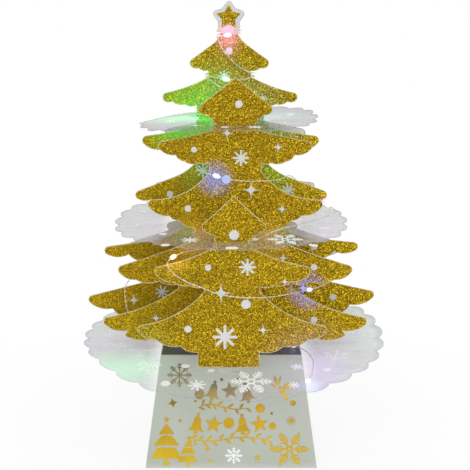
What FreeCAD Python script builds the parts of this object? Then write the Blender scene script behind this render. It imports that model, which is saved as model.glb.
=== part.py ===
"""A free-standing Christmas tree slotted together from flat glitter cards and scalloped film discs.

The tree is built like an egg-crate: five upright cards stand one behind the other, each cut as a tree
with drooping tiers, and three horizontal discs of film are threaded over them.  Every card's necks are
notched where a disc crosses them, and the trunks pass through the bottom disc and a black deck into a
flared, folded base, which also holds the battery box of the string of lights wound round the tree.

Millimetres, +Z up, origin at the centre of the base's underside, the front of the tree facing -Y.
"""
import FreeCAD, Part

import math
import os
from collections import namedtuple

V = FreeCAD.Vector
doc = FreeCAD.newDocument("paper_tree")

# ------------------------------------------------------------------ driving dimensions

sizes = doc.addObject("Spreadsheet::Sheet", "Sizes")
SIZES = [
    ("base_rise", 75.7, "height of the base, ground to rim"),
    ("base_rim_wide", 92.2, "width of the base at its rim"),
    ("rim_margin", 7.6, "how far the base's rim reaches before and behind the inner cards"),
    ("flare_wide", 21.4, "how much wider the base is at the ground than at its rim"),
    ("flare_deep", 22.0, "how much deeper the base is at the ground than at its rim"),
    ("base_film", 0.5, "thickness of the base's folded film"),
    ("deck_card", 0.6, "thickness of the black deck"),
    ("deck_skirt", 12.0, "height of the deck's folded skirt"),
    ("deck_drop", 0.4, "how far the deck lies under the rim"),
    ("lower_storey", 82.0, "bottom disc to middle disc"),
    ("upper_storey", 68.0, "middle disc to top disc"),
    ("crown", 74.1, "top disc to the tip of the star"),
    ("card_spacing", 28.9, "one card's plane to the next"),
    ("card_thick", 0.5, "thickness of a tree card"),
    ("trunk_half", 19.5, "half the trunk's width above the bottom disc"),
    ("tongue_half", 16.5, "half the width of the tongue under a trunk"),
    ("tongue_long", 13.0, "length of the tongue below the rim"),
    ("tab_half", 8.0, "half the width of an outer card's tab"),
    ("tab_long", 3.5, "length of an outer card's tab"),
    ("tier_tip", 3.0, "radius of a tier's tip"),
    ("star_reach", 12.0, "centre of the star to where its points would meet"),
    ("star_waist", 7.4, "centre of the star to its inner corners"),
    ("star_round", 2.2, "rounding of the star's points"),
    ("star_shift", -1.5, "how far the star sits to the side on its card"),
    ("inner_shift", 2.6, "how far the inner cards sit to the side"),
    ("outer_shift", 0.6, "how far the outer cards sit to the side"),
    ("outer_trunk_lean", -2.2, "how far an outer card's trunk stands to the side on its card"),
    ("low_shift", 1.7, "how far the bottom disc sits to the side"),
    ("top_shift", -1.7, "how far the top disc sits to the side"),
    ("disc_thick", 0.4, "thickness of a film disc"),
    ("disc_reach_low", 102.7, "centre to scallop tips, bottom disc"),
    ("disc_reach_mid", 77.8, "centre to scallop tips, middle disc"),
    ("disc_reach_top", 58.4, "centre to scallop tips, top disc"),
    ("scallop_deep", 3.6, "depth of the scallops"),
    ("slot_play", 0.2, "clearance round a card in a slot"),
    ("notch_deep", 1.4, "depth of a neck's notch"),
    ("notch_tall", 1.6, "height of a neck's notch"),
    ("wire_hole", 6.0, "bore of the holes for the string of lights"),
    ("wire_thick", 0.9, "diameter of the string's wire"),
    ("bead_long", 5.2, "length of a light's resin bead"),
    ("bead_wide", 3.0, "width of a light's resin bead"),
    ("cell_wide", 10.4, "diameter of a dry cell"),
    ("cell_long", 43.6, "length of a dry cell without its cap"),
    ("cell_cap_wide", 3.8, "diameter of a cell's cap"),
    ("cell_cap_long", 0.9, "height of a cell's cap"),
    ("cell_gap", 0.7, "clearance between the cells"),
    ("box_wall", 1.4, "wall of the battery box"),
    ("box_left", -46.0, "left end of the battery box"),
    ("box_back_gap", 5.5, "battery box to the base's rear wall, at the floor"),
    ("switch_bay", 11.0, "length of the switch bay"),
    ("contact_room", 2.6, "room at each end of the cells"),
    ("contact_plate", 0.3, "thickness of a contact plate"),
    ("lid_thick", 1.3, "thickness of the sliding lid"),
    ("lid_play", 0.25, "clearance of the lid in its grooves"),
    ("lid_groove", 0.8, "depth of the lid's grooves"),
    ("knob_travel", 3.0, "travel of the switch knob"),
]
for row, (alias, number, meaning) in enumerate(SIZES, start=1):
    sizes.set(f"A{row}", alias)
    sizes.set(f"B{row}", str(number))
    sizes.set(f"C{row}", meaning)
    sizes.setAlias(f"B{row}", alias)
doc.recompute()


def size(alias):
    """The number that the sheet holds under this alias."""
    return float(sizes.get(alias))


def bind(obj, **bound):
    """Binds properties to expressions; a double underscore stands for a dot."""
    for name, expression in bound.items():
        obj.setExpression(name.replace("__", "."), expression)
    return obj


PARTS = []  # the sub-parts, in the order in which they are made


def sub_part(obj, label):
    """Names a finished sub-part; its label is its file's name."""
    obj.Label = label
    PARTS.append(obj)
    return obj


# ------------------------------------------------------------------ levels

THICK = size("card_thick")
PLAY = size("slot_play")
LOW = size("base_rise") + size("disc_thick") / 2
MIDDLE = LOW + size("lower_storey")
TOP = MIDDLE + size("upper_storey")
CROWN = TOP + size("crown")
LEVEL_OF = {
    "low": "(Sizes.base_rise + Sizes.disc_thick / 2)",
    "middle": "(Sizes.base_rise + Sizes.disc_thick / 2 + Sizes.lower_storey)",
    "top": "(Sizes.base_rise + Sizes.disc_thick / 2 + Sizes.lower_storey + Sizes.upper_storey)",
}
STOREYS = {"lower": (LOW, MIDDLE), "upper": (MIDDLE, TOP), "crown": (TOP, CROWN)}


def height(storey, share):
    """The height of a point that lies at this share of the way up a storey."""
    low, high = STOREYS[storey]
    return low + share * (high - low)


# ------------------------------------------------------------------ tree cards

# A tier leaves the neck at its shoulder, curves round its bend into a straight run, turns at its
# rounded tip and comes back along the notches of its scalloped hem to the neck.  Each point is a half
# width in millimetres and a share of its storey's height.  A hand-cut card isn't quite even: lean is how
# far a whole tier sits to the side, and tilt how far its right tip sits higher and its left tip lower.
Tier = namedtuple("Tier", "storey shoulder bend tip hem lean tilt", defaults=(0.0, 0.0))

CENTRE_TIERS = [
    Tier("crown", (5.9, 0.717), (8.0, 0.665), (25.4, 0.478), [(19.8, 0.436), (13.8, 0.412)], lean=-1.2),
    Tier("crown", (13.8, 0.360), (25.0, 0.277), (43.7, 0.184),
         [(37.4, 0.146), (29.4, 0.122), (21.6, 0.114)], lean=-0.8),
    Tier("upper", (22.6, 0.950), (30.0, 0.887), (57.9, 0.787),
         [(45.2, 0.698), (33.5, 0.655), (21.8, 0.662)], lean=-0.4),
    Tier("upper", (21.8, 0.600), (28.1, 0.484), (63.7, 0.249), [(53.0, 0.206), (42.0, 0.150), (31.0, 0.085)]),
    Tier("lower", (31.0, 0.955), (42.0, 0.852), (85.5, 0.756),
         [(69.3, 0.720), (59.5, 0.662), (48.5, 0.622), (38.0, 0.602)], tilt=1.4),
    Tier("lower", (38.0, 0.560), (52.0, 0.501), (97.7, 0.336),
         [(81.4, 0.254), (69.5, 0.160), (57.0, 0.122), (44.5, 0.106), (32.0, 0.098)], tilt=1.7),
]
INNER_TIERS = [
    Tier("crown", (0.0, 0.391), (10.0, 0.277), (23.0, 0.125), [(17.2, 0.076), (14.0, 0.044)]),
    Tier("upper", (14.0, 0.955), (20.0, 0.915), (48.2, 0.800),
         [(37.4, 0.714), (32.0, 0.655), (22.4, 0.640), (16.4, 0.640)]),
    Tier("upper", (16.4, 0.560), (28.0, 0.325), (55.5, 0.249), [(42.0, 0.138), (35.6, 0.092), (27.0, 0.024)]),
    Tier("lower", (27.0, 0.920), (43.0, 0.834), (75.7, 0.679), [(64.3, 0.596), (49.2, 0.586), (37.0, 0.562)]),
    Tier("lower", (37.0, 0.526), (55.0, 0.366), (86.4, 0.246),
         [(70.0, 0.173), (72.4, 0.126), (50.1, 0.117), (41.5, 0.100), (30.0, 0.092)]),
]
OUTER_TIERS = [
    Tier("upper", (0.0, 0.4235), (9.0, 0.288), (19.4, 0.138), [(15.4, 0.084), (11.7, 0.058)], lean=1.0),
    Tier("lower", (11.7, 0.955), (24.0, 0.870), (47.9, 0.773), [(36.2, 0.686), (26.0, 0.660), (17.3, 0.650)]),
    Tier("lower", (17.3, 0.610), (34.0, 0.385), (59.4, 0.306), [(47.8, 0.228), (32.3, 0.172)]),
]
# The share of the lower storey at which each card's last hem meets its trunk.
CENTRE_TRUNK, INNER_TRUNK, OUTER_TRUNK = 0.082, 0.082, 0.124

LOBE_SWELL = 0.13  # how far a hem's scallop hangs below its chord, as a share of the chord
LOBE_TURN = math.degrees(2 * math.atan(2 * LOBE_SWELL))  # between a scallop's chord and its first heading


def line(a, b):
    return Part.LineSegment(a, b)


def rounded_corner(a, corner, b):
    """From a to b with an arc at the corner, as large as the shorter side allows."""
    into, out = corner - a, b - corner
    setback = 0.98 * min(into.Length, out.Length)
    into.normalize()
    out.normalize()
    half_turn = into.getAngle(out) / 2
    inward = (out - into).normalize()
    radius = setback / math.tan(half_turn)
    middle = corner + inward * (radius / math.cos(half_turn) - radius)
    first, last = corner - into * setback, corner + out * setback
    return [line(a, first), Part.Arc(first, middle, last), line(last, b)]


def lobe(a, b):
    """A scallop of the hem: the arc from a to b that swells to the left of that direction."""
    along = b - a
    outward = V(-along.y, along.x, 0) * LOBE_SWELL
    return Part.Arc(a, (a + b) * 0.5 + outward, b)


def turned(direction, degrees):
    return FreeCAD.Rotation(V(0, 0, 1), degrees).multVec(direction).normalize()


def tier_edges(tier, side):
    """One tier's right half; side -1 gives the half whose mirror image is the tier's left half."""
    low, high = STOREYS[tier.storey]
    slope = side * tier.tilt / tier.tip[0]

    def at(half, share):
        return V(half + side * tier.lean, low + share * (high - low) + slope * half, 0)

    shoulder, bend, tip = at(*tier.shoulder), at(*tier.bend), at(*tier.tip)
    notches = [at(*notch) for notch in tier.hem]
    radius = size("tier_tip")
    centre = tip - V(radius, 0, 0)

    def on_tip(heading):
        return centre + V(-heading.y, heading.x, 0) * radius

    to_centre = centre - bend
    over = on_tip(turned(to_centre, math.degrees(math.asin(radius / to_centre.Length))))
    under = centre - V(0, radius, 0)
    for _ in range(4):
        under = on_tip(turned(notches[0] - under, LOBE_TURN))
    edges = rounded_corner(shoulder, bend, over) + [Part.Arc(over, tip, under)]
    for start, end in zip([under] + notches, notches):
        edges.append(lobe(start, end))
    return edges, shoulder, notches[-1]


def mirrored(edges):
    """The edges' mirror images in the sketch's vertical axis, in the opposite order."""
    flip = FreeCAD.Matrix(-1, 0, 0, 0, 0, 1, 0, 0, 0, 0, 1, 0, 0, 0, 0, 1)
    images = []
    for edge in reversed(edges):
        if isinstance(edge, Part.LineSegment):
            images.append(line(flip.multVec(edge.EndPoint), flip.multVec(edge.StartPoint)))
        else:
            ends = (edge.FirstParameter, edge.LastParameter)
            a, middle, b = (flip.multVec(edge.value(t)) for t in (ends[0], sum(ends) / 2, ends[1]))
            images.append(Part.Arc(b, middle, a))
    return images


def half_outline(tiers, crest, trunk, trunk_lean, foot, side):
    """The tiers of a card's half, then its trunk and the tongue or tab below the rim."""
    edges, at = [], V(crest[0] + side * tiers[0].lean, crest[1], 0)
    for tier in tiers:
        made, shoulder, heel = tier_edges(tier, side)
        if (shoulder - at).Length > 1e-6:
            edges.append(line(at, shoulder))
        edges += made
        at = heel
    foot_half, foot_long = foot
    rim, trunk_side = LOW + size("disc_thick") / 2, size("trunk_half") + side * trunk_lean
    trunk_head = V(trunk_side, height("lower", trunk), 0)
    edges.append(lobe(at, trunk_head))
    at = trunk_head
    corners = [(trunk_side, rim), (foot_half, rim), (foot_half, rim - foot_long), (0, rim - foot_long)]
    for corner in (V(x, y, 0) for x, y in corners):
        edges.append(line(at, corner))
        at = corner
    return edges


def card_outline(tiers, crest, trunk, trunk_lean, foot):
    """A whole card's outline: its right half and the mirror image of its left half."""
    right = half_outline(tiers, crest, trunk, trunk_lean, foot, 1)
    left = mirrored(half_outline(tiers, crest, trunk, trunk_lean, foot, -1))
    if crest[0] > 0:
        left.append(line(left[-1].EndPoint, right[0].StartPoint))
    return right + left


def plane_of(body, role):
    return next(f for f in body.Origin.OriginFeatures if f.Role == role)


def sketch_in(body, label, role, geometry):
    sketch = body.newObject("Sketcher::SketchObject", label)
    sketch.AttachmentSupport = [(plane_of(body, role), "")]
    sketch.MapMode = "FlatFace"
    sketch.addGeometry(geometry, False)
    return sketch


def rectangle(x0, x1, y0, y1):
    corners = [V(x0, y0, 0), V(x1, y0, 0), V(x1, y1, 0), V(x0, y1, 0)]
    return [line(a, b) for a, b in zip(corners, corners[1:] + corners[:1])]


STAR_POINTS = 5


def star_outline(x, y):
    """A star about (x, y), its first point straight up, its points rounded by tangent arcs."""
    reach, waist, rounding = size("star_reach"), size("star_waist"), size("star_round")
    centre, step = V(x, y, 0), 2 * math.pi / STAR_POINTS

    def at(radius, turn):
        return centre + V(radius * math.sin(turn), radius * math.cos(turn), 0)

    edges = []
    for k in range(STAR_POINTS):
        tip, left, right = at(reach, k * step), at(waist, (k - 0.5) * step), at(waist, (k + 0.5) * step)
        half_angle = (left - tip).getAngle(centre - tip)
        setback = rounding / math.tan(half_angle)
        depth = rounding / math.sin(half_angle) - rounding
        a = tip + (left - tip).normalize() * setback
        b = tip + (right - tip).normalize() * setback
        edges += [line(left, a), Part.Arc(a, tip + (centre - tip).normalize() * depth, b), line(b, right)]
    return edges


def star_top():
    """How far the star's rounded top point lies above its centre."""
    reach, waist, half_step = size("star_reach"), size("star_waist"), math.pi / STAR_POINTS
    half_angle = math.atan2(waist * math.sin(half_step), reach - waist * math.cos(half_step))
    return reach - size("star_round") * (1 / math.sin(half_angle) - 1)


# Half the width of each card's neck where a disc crosses it.
CENTRE_NECKS = {"middle": 31.0, "top": 22.6}
INNER_NECKS = {"middle": 27.0, "top": 14.0}
OUTER_NECKS = {"middle": 11.7}
LEVELS = {"low": LOW, "middle": MIDDLE, "top": TOP}


def tree_card(label, place, shift, outline_edges, necks, star=False):
    """One upright card: its outline padded to the card's thickness, its necks notched for the discs."""
    body = doc.addObject("PartDesign::Body", label + "_body")
    outline = sketch_in(body, label + "_outline", "XZ_Plane", outline_edges)
    pad = body.newObject("PartDesign::Pad", label + "_pad")
    pad.Profile = outline
    pad.SideType = "Symmetric"
    bind(pad, Length="Sizes.card_thick")
    if star:
        edges = star_outline(size("star_shift"), CROWN - star_top())
        star_sketch = sketch_in(body, label + "_star_outline", "XZ_Plane", edges)
        star_pad = body.newObject("PartDesign::Pad", label + "_star")
        star_pad.Profile = star_sketch
        star_pad.SideType = "Symmetric"
        bind(star_pad, Length="Sizes.card_thick")
    notches, half_tall = [], size("notch_tall") / 2
    for level, neck in necks.items():
        inner, outer = neck - size("notch_deep"), neck + size("notch_deep")
        for a, b in ((inner, outer), (-outer, -inner)):
            notches += rectangle(a, b, LEVELS[level] - half_tall, LEVELS[level] + half_tall)
    notch_sketch = sketch_in(body, label + "_notch_outline", "XZ_Plane", notches)
    pocket = body.newObject("PartDesign::Pocket", label + "_notches")
    pocket.Profile = notch_sketch
    pocket.SideType = "Symmetric"
    bind(pocket, Length="Sizes.card_thick * 2")
    body.Tip = pocket
    bind(body, Placement__Base__y=f"Sizes.card_spacing * {place}", Placement__Base__x=shift)
    return sub_part(body, label)


TONGUE = (size("tongue_half"), size("tongue_long"))
TAB = (size("tab_half"), size("tab_long"))


def apex(tiers):
    """A card without a star ends in its top tier's shoulder, on the tier's middle line."""
    return (0.0, height(tiers[0].storey, tiers[0].shoulder[1]))


# The centre card's neck runs on up and ends inside the star.
neck_end = (CENTRE_TIERS[0].shoulder[0] / 2, CROWN - star_top())
CENTRE = card_outline(CENTRE_TIERS, neck_end, CENTRE_TRUNK, 0.0, TONGUE)
INNER = card_outline(INNER_TIERS, apex(INNER_TIERS), INNER_TRUNK, 0.0, TONGUE)
OUTER = card_outline(OUTER_TIERS, apex(OUTER_TIERS), OUTER_TRUNK, size("outer_trunk_lean"), TAB)
tree_card("card_centre", 0, "0", CENTRE, CENTRE_NECKS, star=True)
for side, place in (("front", -1), ("back", 1)):
    tree_card(f"card_{side}_inner", place, "Sizes.inner_shift", INNER, INNER_NECKS)
    tree_card(f"card_{side}_outer", 2 * place, "Sizes.outer_shift", OUTER, OUTER_NECKS)
doc.recompute()

# ------------------------------------------------------------------ film discs

# Where the string of lights passes each disc: one hole behind the centre card and one before it.
RISER_HOLE = (6.0, 8.0)
DISC_HOLES = {
    "low": [RISER_HOLE],
    "middle": [RISER_HOLE, (20.0, -43.5)],
    "top": [RISER_HOLE, (3.0, -14.5)],
}

# Each disc is flat where cards cross it, and its free rim has warped: it starts to warp at flat_wide to
# the sides and at flat_deep to the front and back.  The net gives how far the sheet's control points rise
# along its border, row by row from the front to the back, each row left to right.
Sheet = namedtuple("Sheet", "reach shift scallops flat_wide flat_deep net")
PAST_RIM, PAST_NECK, SHORT_OF_NECK, PAST_CARD = 3.9, 3.0, 4.5, 2.7
SHEETS = {
    "low": Sheet("disc_reach_low", "Sizes.low_shift", 30, size("base_rim_wide") / 2 + PAST_RIM,
                 2 * size("card_spacing") + PAST_CARD, [
        (0.0, -4.0, -3.0, -6.0, -1.0),
        (9.0, 0.0, 0.0, 0.0, -2.0),
        (-0.5, 0.0, 0.0, 0.0, 2.0),
        (-1.0, 0.0, 0.0, 0.0, 15.0),
        (0.0, 0.0, -1.0, 6.0, 4.0)]),
    "middle": Sheet("disc_reach_mid", "0", 26, CENTRE_NECKS["middle"] + PAST_NECK,
                    2 * size("card_spacing") + PAST_CARD, [
        (0.0, 0.0, 0.0, 0.0, 0.0),
        (-5.0, 0.0, 0.0, 0.0, -8.0),
        (-3.0, 0.0, 0.0, 0.0, 2.0),
        (8.0, 0.0, 0.0, 0.0, 3.0),
        (0.0, 1.5, 0.0, 1.5, 0.0)]),
    "top": Sheet("disc_reach_top", "Sizes.top_shift", 22, CENTRE_NECKS["top"] - SHORT_OF_NECK,
                 size("card_spacing") + PAST_CARD, [
        (-2.5, -4.0, 1.0, -3.0, -1.5),
        (-10.0, 0.0, 0.0, 0.0, -2.0),
        (0.0, 0.0, 0.0, 0.0, 1.0),
        (-12.0, 0.0, 0.0, 0.0, 8.0),
        (-4.0, -16.0, -2.0, 9.0, 3.0)]),
}


def scalloped_ring(reach, count):
    """A closed ring of equal outward arcs, symmetric left to right and front to back."""
    root = reach - size("scallop_deep")
    step = 2 * math.pi / count
    edges = []
    for k in range(count):
        a, b = (k - 0.5) * step, (k + 0.5) * step
        edges.append(Part.Arc(V(root * math.cos(a), root * math.sin(a), 0),
                              V(reach * math.cos(k * step), reach * math.sin(k * step), 0),
                              V(root * math.cos(b), root * math.sin(b), 0)))
    return edges


def card_slots(level):
    """The slots for the cards that cross or stand in this disc."""
    half_thick = THICK / 2 + PLAY
    spacing = size("card_spacing")
    shifts = (0.0, size("inner_shift"), size("outer_shift"))
    if level == "low":
        halves = {0: size("tongue_half"), 1: size("tongue_half"), 2: size("tab_half")}
    else:
        rows = (CENTRE_NECKS, INNER_NECKS, OUTER_NECKS)
        halves = {k: necks[level] - size("notch_deep") for k, necks in enumerate(rows) if level in necks}
    edges = []
    for k, half in halves.items():
        for side in ((0,) if k == 0 else (-k, k)):
            x, y, reach = shifts[k], side * spacing, half + PLAY
            edges += rectangle(x - reach, x + reach, y - half_thick, y + half_thick)
    return edges


def warped_surface(sheet, low):
    """The film's underside before it is cut out: a quadratic surface, flat but for its border."""
    margin = 1.03 * size(sheet.reach)
    grids = []
    for flat in (sheet.flat_wide, sheet.flat_deep):
        grids.append([-margin, -(margin + flat) / 2, 0.0, (margin + flat) / 2, margin])
    poles = [[V(x, y, low + sheet.net[j][i]) for j, y in enumerate(grids[1])] for i, x in enumerate(grids[0])]
    knots = [(-margin, -flat, flat, margin) for flat in (sheet.flat_wide, sheet.flat_deep)]
    surface = Part.BSplineSurface()
    surface.buildFromPolesMultsKnots(poles, (3, 1, 1, 3), (3, 1, 1, 3), *knots, False, False, 2, 2)
    return surface, knots


def creased_slab(sheet, level):
    """The sheet of film as facets between straight creases, their corners on the warped surface."""
    thick = V(0, 0, size("disc_thick"))
    surface, knots = warped_surface(sheet, LEVELS[level] - size("disc_thick") / 2)
    creases = [[a, (a + b) / 2, b, c, (c + d) / 2, d] for a, b, c, d in knots]
    corner = {(i, j): surface.value(x, y) for i, x in enumerate(creases[0]) for j, y in enumerate(creases[1])}

    def face(points):
        return Part.Face(Part.makePolygon(points + points[:1]))

    faces, last = [], len(creases[0]) - 1
    for i in range(last):
        for j in range(last):
            a, b, c, d = (corner[i + di, j + dj] for di, dj in ((0, 0), (1, 0), (1, 1), (0, 1)))
            for points in ([a, b, c], [a, c, d]):
                faces += [face(points), face([point + thick for point in points])]
    border = [(i, 0) for i in range(last)] + [(last, j) for j in range(last)]
    border += [(i, last) for i in range(last, 0, -1)] + [(0, j) for j in range(last, 0, -1)]
    for here, there in zip(border, border[1:] + border[:1]):
        p, q = corner[here], corner[there]
        faces.append(face([p, q, q + thick, p + thick]))
    return Part.Solid(Part.Shell(faces))


def film_disc(label, level):
    """A scalloped disc, slotted for the cards, cut from a warped sheet of film."""
    sheet = SHEETS[level]
    outline = doc.addObject("Sketcher::SketchObject", label + "_outline")
    outline.addGeometry(scalloped_ring(size(sheet.reach), sheet.scallops), False)
    inside = doc.addObject("Sketcher::SketchObject", label + "_openings")
    hole = size("wire_hole") / 2
    holes = [Part.Circle(V(x, y, 0), V(0, 0, 1), hole) for x, y in DISC_HOLES[level]]
    inside.addGeometry(card_slots(level) + holes, False)
    prisms = []
    for profile, shift in ((outline, sheet.shift), (inside, "0")):
        prism = doc.addObject("Part::Extrusion", profile.Label + "_prism")
        prism.Base = profile
        prism.DirMode = "Custom"
        prism.Dir = V(0, 0, 1)
        prism.Solid = True
        bind(prism, LengthFwd=f"2 * Sizes.{sheet.reach} / 3", Placement__Base__x=shift,
             Placement__Base__z=f"{LEVEL_OF[level]} - Sizes.{sheet.reach} / 3")
        prisms.append(prism)
    slab = doc.addObject("Part::Feature", label + "_sheet")
    slab.Shape = creased_slab(sheet, level)
    bind(slab, Placement__Base__x=sheet.shift)
    blank = doc.addObject("Part::Common", label + "_blank")
    blank.Base, blank.Tool = prisms[0], slab
    disc = doc.addObject("Part::Cut", label + "_cut")
    disc.Base, disc.Tool = blank, prisms[1]
    disc.Refine = True
    return sub_part(disc, label)


film_disc("disc_bottom", "low")
film_disc("disc_middle", "middle")
film_disc("disc_top", "top")
doc.recompute()

# ------------------------------------------------------------------ base and deck


def flared_block(name, foot_wide, foot_deep, rim_wide, rim_deep, low, high):
    """A block whose four sides lean in from its foot to its rim; every size is an expression."""
    wedge = doc.addObject("Part::Wedge", name)
    bind(wedge, Xmin=f"-({foot_wide}) / 2", Xmax=f"({foot_wide}) / 2", Ymin=low,
         Zmin=f"-({foot_deep}) / 2", Zmax=f"({foot_deep}) / 2", Ymax=high,
         X2min=f"-({rim_wide}) / 2", X2max=f"({rim_wide}) / 2",
         Z2min=f"-({rim_deep}) / 2", Z2max=f"({rim_deep}) / 2")
    wedge.Placement = FreeCAD.Placement(V(0, 0, 0), FreeCAD.Rotation(V(1, 0, 0), 90))
    return wedge


def block(name, x0, x1, y0, y1, z0, z1):
    """An upright block between these expressions."""
    box = doc.addObject("Part::Box", name)
    bind(box, Length=f"({x1}) - ({x0})", Width=f"({y1}) - ({y0})", Height=f"({z1}) - ({z0})",
         Placement__Base__x=x0, Placement__Base__y=y0, Placement__Base__z=z0)
    return box


def rod(name, radius, x, y, z, length, axis):
    """A round bar that starts at these expressions and runs along axis."""
    bar = doc.addObject("Part::Cylinder", name)
    bar.Placement.Rotation = FreeCAD.Rotation(V(0, 0, 1), axis)
    bind(bar, Radius=radius, Height=length, Placement__Base__x=x, Placement__Base__y=y, Placement__Base__z=z)
    return bar


def fused(name, shapes):
    union = doc.addObject("Part::MultiFuse", name)
    union.Shapes = shapes
    return union


def cut(name, base, tools):
    """The base less its tools."""
    difference = doc.addObject("Part::Cut", name)
    difference.Base = base
    difference.Tool = tools[0] if len(tools) == 1 else fused(name + "_tools", tools)
    return difference


RIM_WIDE = "Sizes.base_rim_wide"
RIM_DEEP = "2 * (Sizes.card_spacing + Sizes.rim_margin)"


def base_width(z):
    """The base's outer width at the height z, as an expression."""
    return f"({RIM_WIDE} + Sizes.flare_wide * (1 - ({z}) / Sizes.base_rise))"


def base_depth(z):
    """The base's outer depth at the height z, as an expression."""
    return f"({RIM_DEEP} + Sizes.flare_deep * (1 - ({z}) / Sizes.base_rise))"


BOX_LONG = ("(Sizes.switch_bay + Sizes.cell_long + Sizes.cell_cap_long + 2 * Sizes.contact_room"
            " + 3 * Sizes.box_wall)")
CELL_STEP = "(Sizes.cell_wide + Sizes.cell_gap)"
SIDE_ROOM = 0.2  # between the outer cells and the box's walls, beyond half a cell gap
BOX_DEEP = f"(3 * {CELL_STEP} + {2 * SIDE_ROOM} + 2 * Sizes.box_wall)"
BOX_RIGHT = f"(Sizes.box_left + {BOX_LONG})"
BOX_BACK = f"({base_depth('0')} / 2 - Sizes.base_film - Sizes.box_back_gap)"
BOX_FRONT = f"({BOX_BACK} - {BOX_DEEP})"
BOX_FLOOR = "Sizes.base_film"
LID_LOW = f"({BOX_FLOOR} + Sizes.lid_play)"
LID_HIGH = f"({LID_LOW} + Sizes.lid_thick)"
CELL_LOW = f"({LID_HIGH} + Sizes.lid_play)"
CELL_HEADROOM = 0.3
BOX_TOP = f"({CELL_LOW} + Sizes.cell_wide + {CELL_HEADROOM} + Sizes.box_wall)"
WINDOW_EDGE = 2.5  # how far the base's floor laps under the box


def base():
    """The folded film base: four leaning walls and a floor with a window for the battery lid."""
    film = "Sizes.base_film"
    outer = flared_block("base_outside", base_width("0"), base_depth("0"),
                         base_width("Sizes.base_rise"), base_depth("Sizes.base_rise"), "0", "Sizes.base_rise")
    above = "(Sizes.base_rise + 5)"
    wide, deep = (f"{across(film)} - 2 * {film}" for across in (base_width, base_depth))
    wide_above, deep_above = (f"{across(above)} - 2 * {film}" for across in (base_width, base_depth))
    inner = flared_block("base_inside", wide, deep, wide_above, deep_above, film, above)
    window = block("base_window", f"Sizes.box_left + {WINDOW_EDGE}", f"{BOX_RIGHT} - {WINDOW_EDGE}",
                   f"{BOX_FRONT} + {WINDOW_EDGE}", f"{BOX_BACK} - {WINDOW_EDGE}", "-1", f"{film} + 1")
    sub_part(cut("base_shell", outer, [inner, window]), "base_box")


def deck():
    """The black deck that closes the base's mouth: a plate with a folded skirt, slotted for the tongues."""
    top = "(Sizes.base_rise - Sizes.deck_drop)"
    low = f"({top} - Sizes.deck_skirt)"
    inset = "2 * (Sizes.base_film + Sizes.slot_play)"
    card = "Sizes.deck_card"
    outer = flared_block("deck_outside", f"{base_width(low)} - {inset}", f"{base_depth(low)} - {inset}",
                         f"{base_width(top)} - {inset}", f"{base_depth(top)} - {inset}", low, top)
    under, below = f"({top} - {card})", f"({low} - 5)"
    both = f"{inset} - 2 * {card}"
    inner = flared_block("deck_inside", f"{base_width(below)} - {both}", f"{base_depth(below)} - {both}",
                         f"{base_width(under)} - {both}", f"{base_depth(under)} - {both}", below, under)
    tools = [inner]
    half = "(Sizes.tongue_half + Sizes.slot_play)"
    thick = "(Sizes.card_thick / 2 + Sizes.slot_play)"
    for place, shift in ((-1, "Sizes.inner_shift"), (0, "0"), (1, "Sizes.inner_shift")):
        middle = f"Sizes.card_spacing * {place}"
        tools.append(block(f"deck_slot_{place + 2}", f"{shift} - {half}", f"{shift} + {half}",
                           f"{middle} - {thick}", f"{middle} + {thick}", below, f"{top} + 1"))
    riser_x, riser_y = (str(place) for place in RISER_HOLE)
    through = "(Sizes.deck_skirt + 10)"
    tools.append(rod("deck_wire_hole", "Sizes.wire_hole / 2", riser_x, riser_y, below, through, V(0, 0, 1)))
    sub_part(cut("deck_plate", outer, tools), "base_deck")


base()
deck()
doc.recompute()

# ------------------------------------------------------------------ battery box

BAY_LEFT = "(Sizes.box_left + 2 * Sizes.box_wall + Sizes.switch_bay)"
BAY_RIGHT = f"({BOX_RIGHT} - Sizes.box_wall)"
BAY_FRONT = f"({BOX_FRONT} + Sizes.box_wall)"
BAY_BACK = f"({BOX_BACK} - Sizes.box_wall)"
BOX_MIDDLE = f"(({BAY_FRONT} + {BAY_BACK}) / 2)"
BAY_TOP = f"({BOX_TOP} - Sizes.box_wall)"
CELL_AXIS = f"({CELL_LOW} + Sizes.cell_wide / 2)"
KNOB_LONG, KNOB_WIDE, KNOB_PLAY = 3.0, 2.4, 0.3
SWITCH_HALF_LONG, SWITCH_HALF_WIDE, SWITCH_TALL = 4.2, 2.0, 4.0
SKIN = 0.001  # by which a cut passes a face that it ends on
LEAD_HOLE, LEAD_PLAY = (-40, 20), 0.2  # where the string of lights leaves the box
SWITCH_MIDDLE = "(Sizes.box_left + Sizes.box_wall + Sizes.switch_bay / 2)"
SWITCH_FLOOR = f"({BOX_FLOOR} + Sizes.box_wall)"


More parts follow.
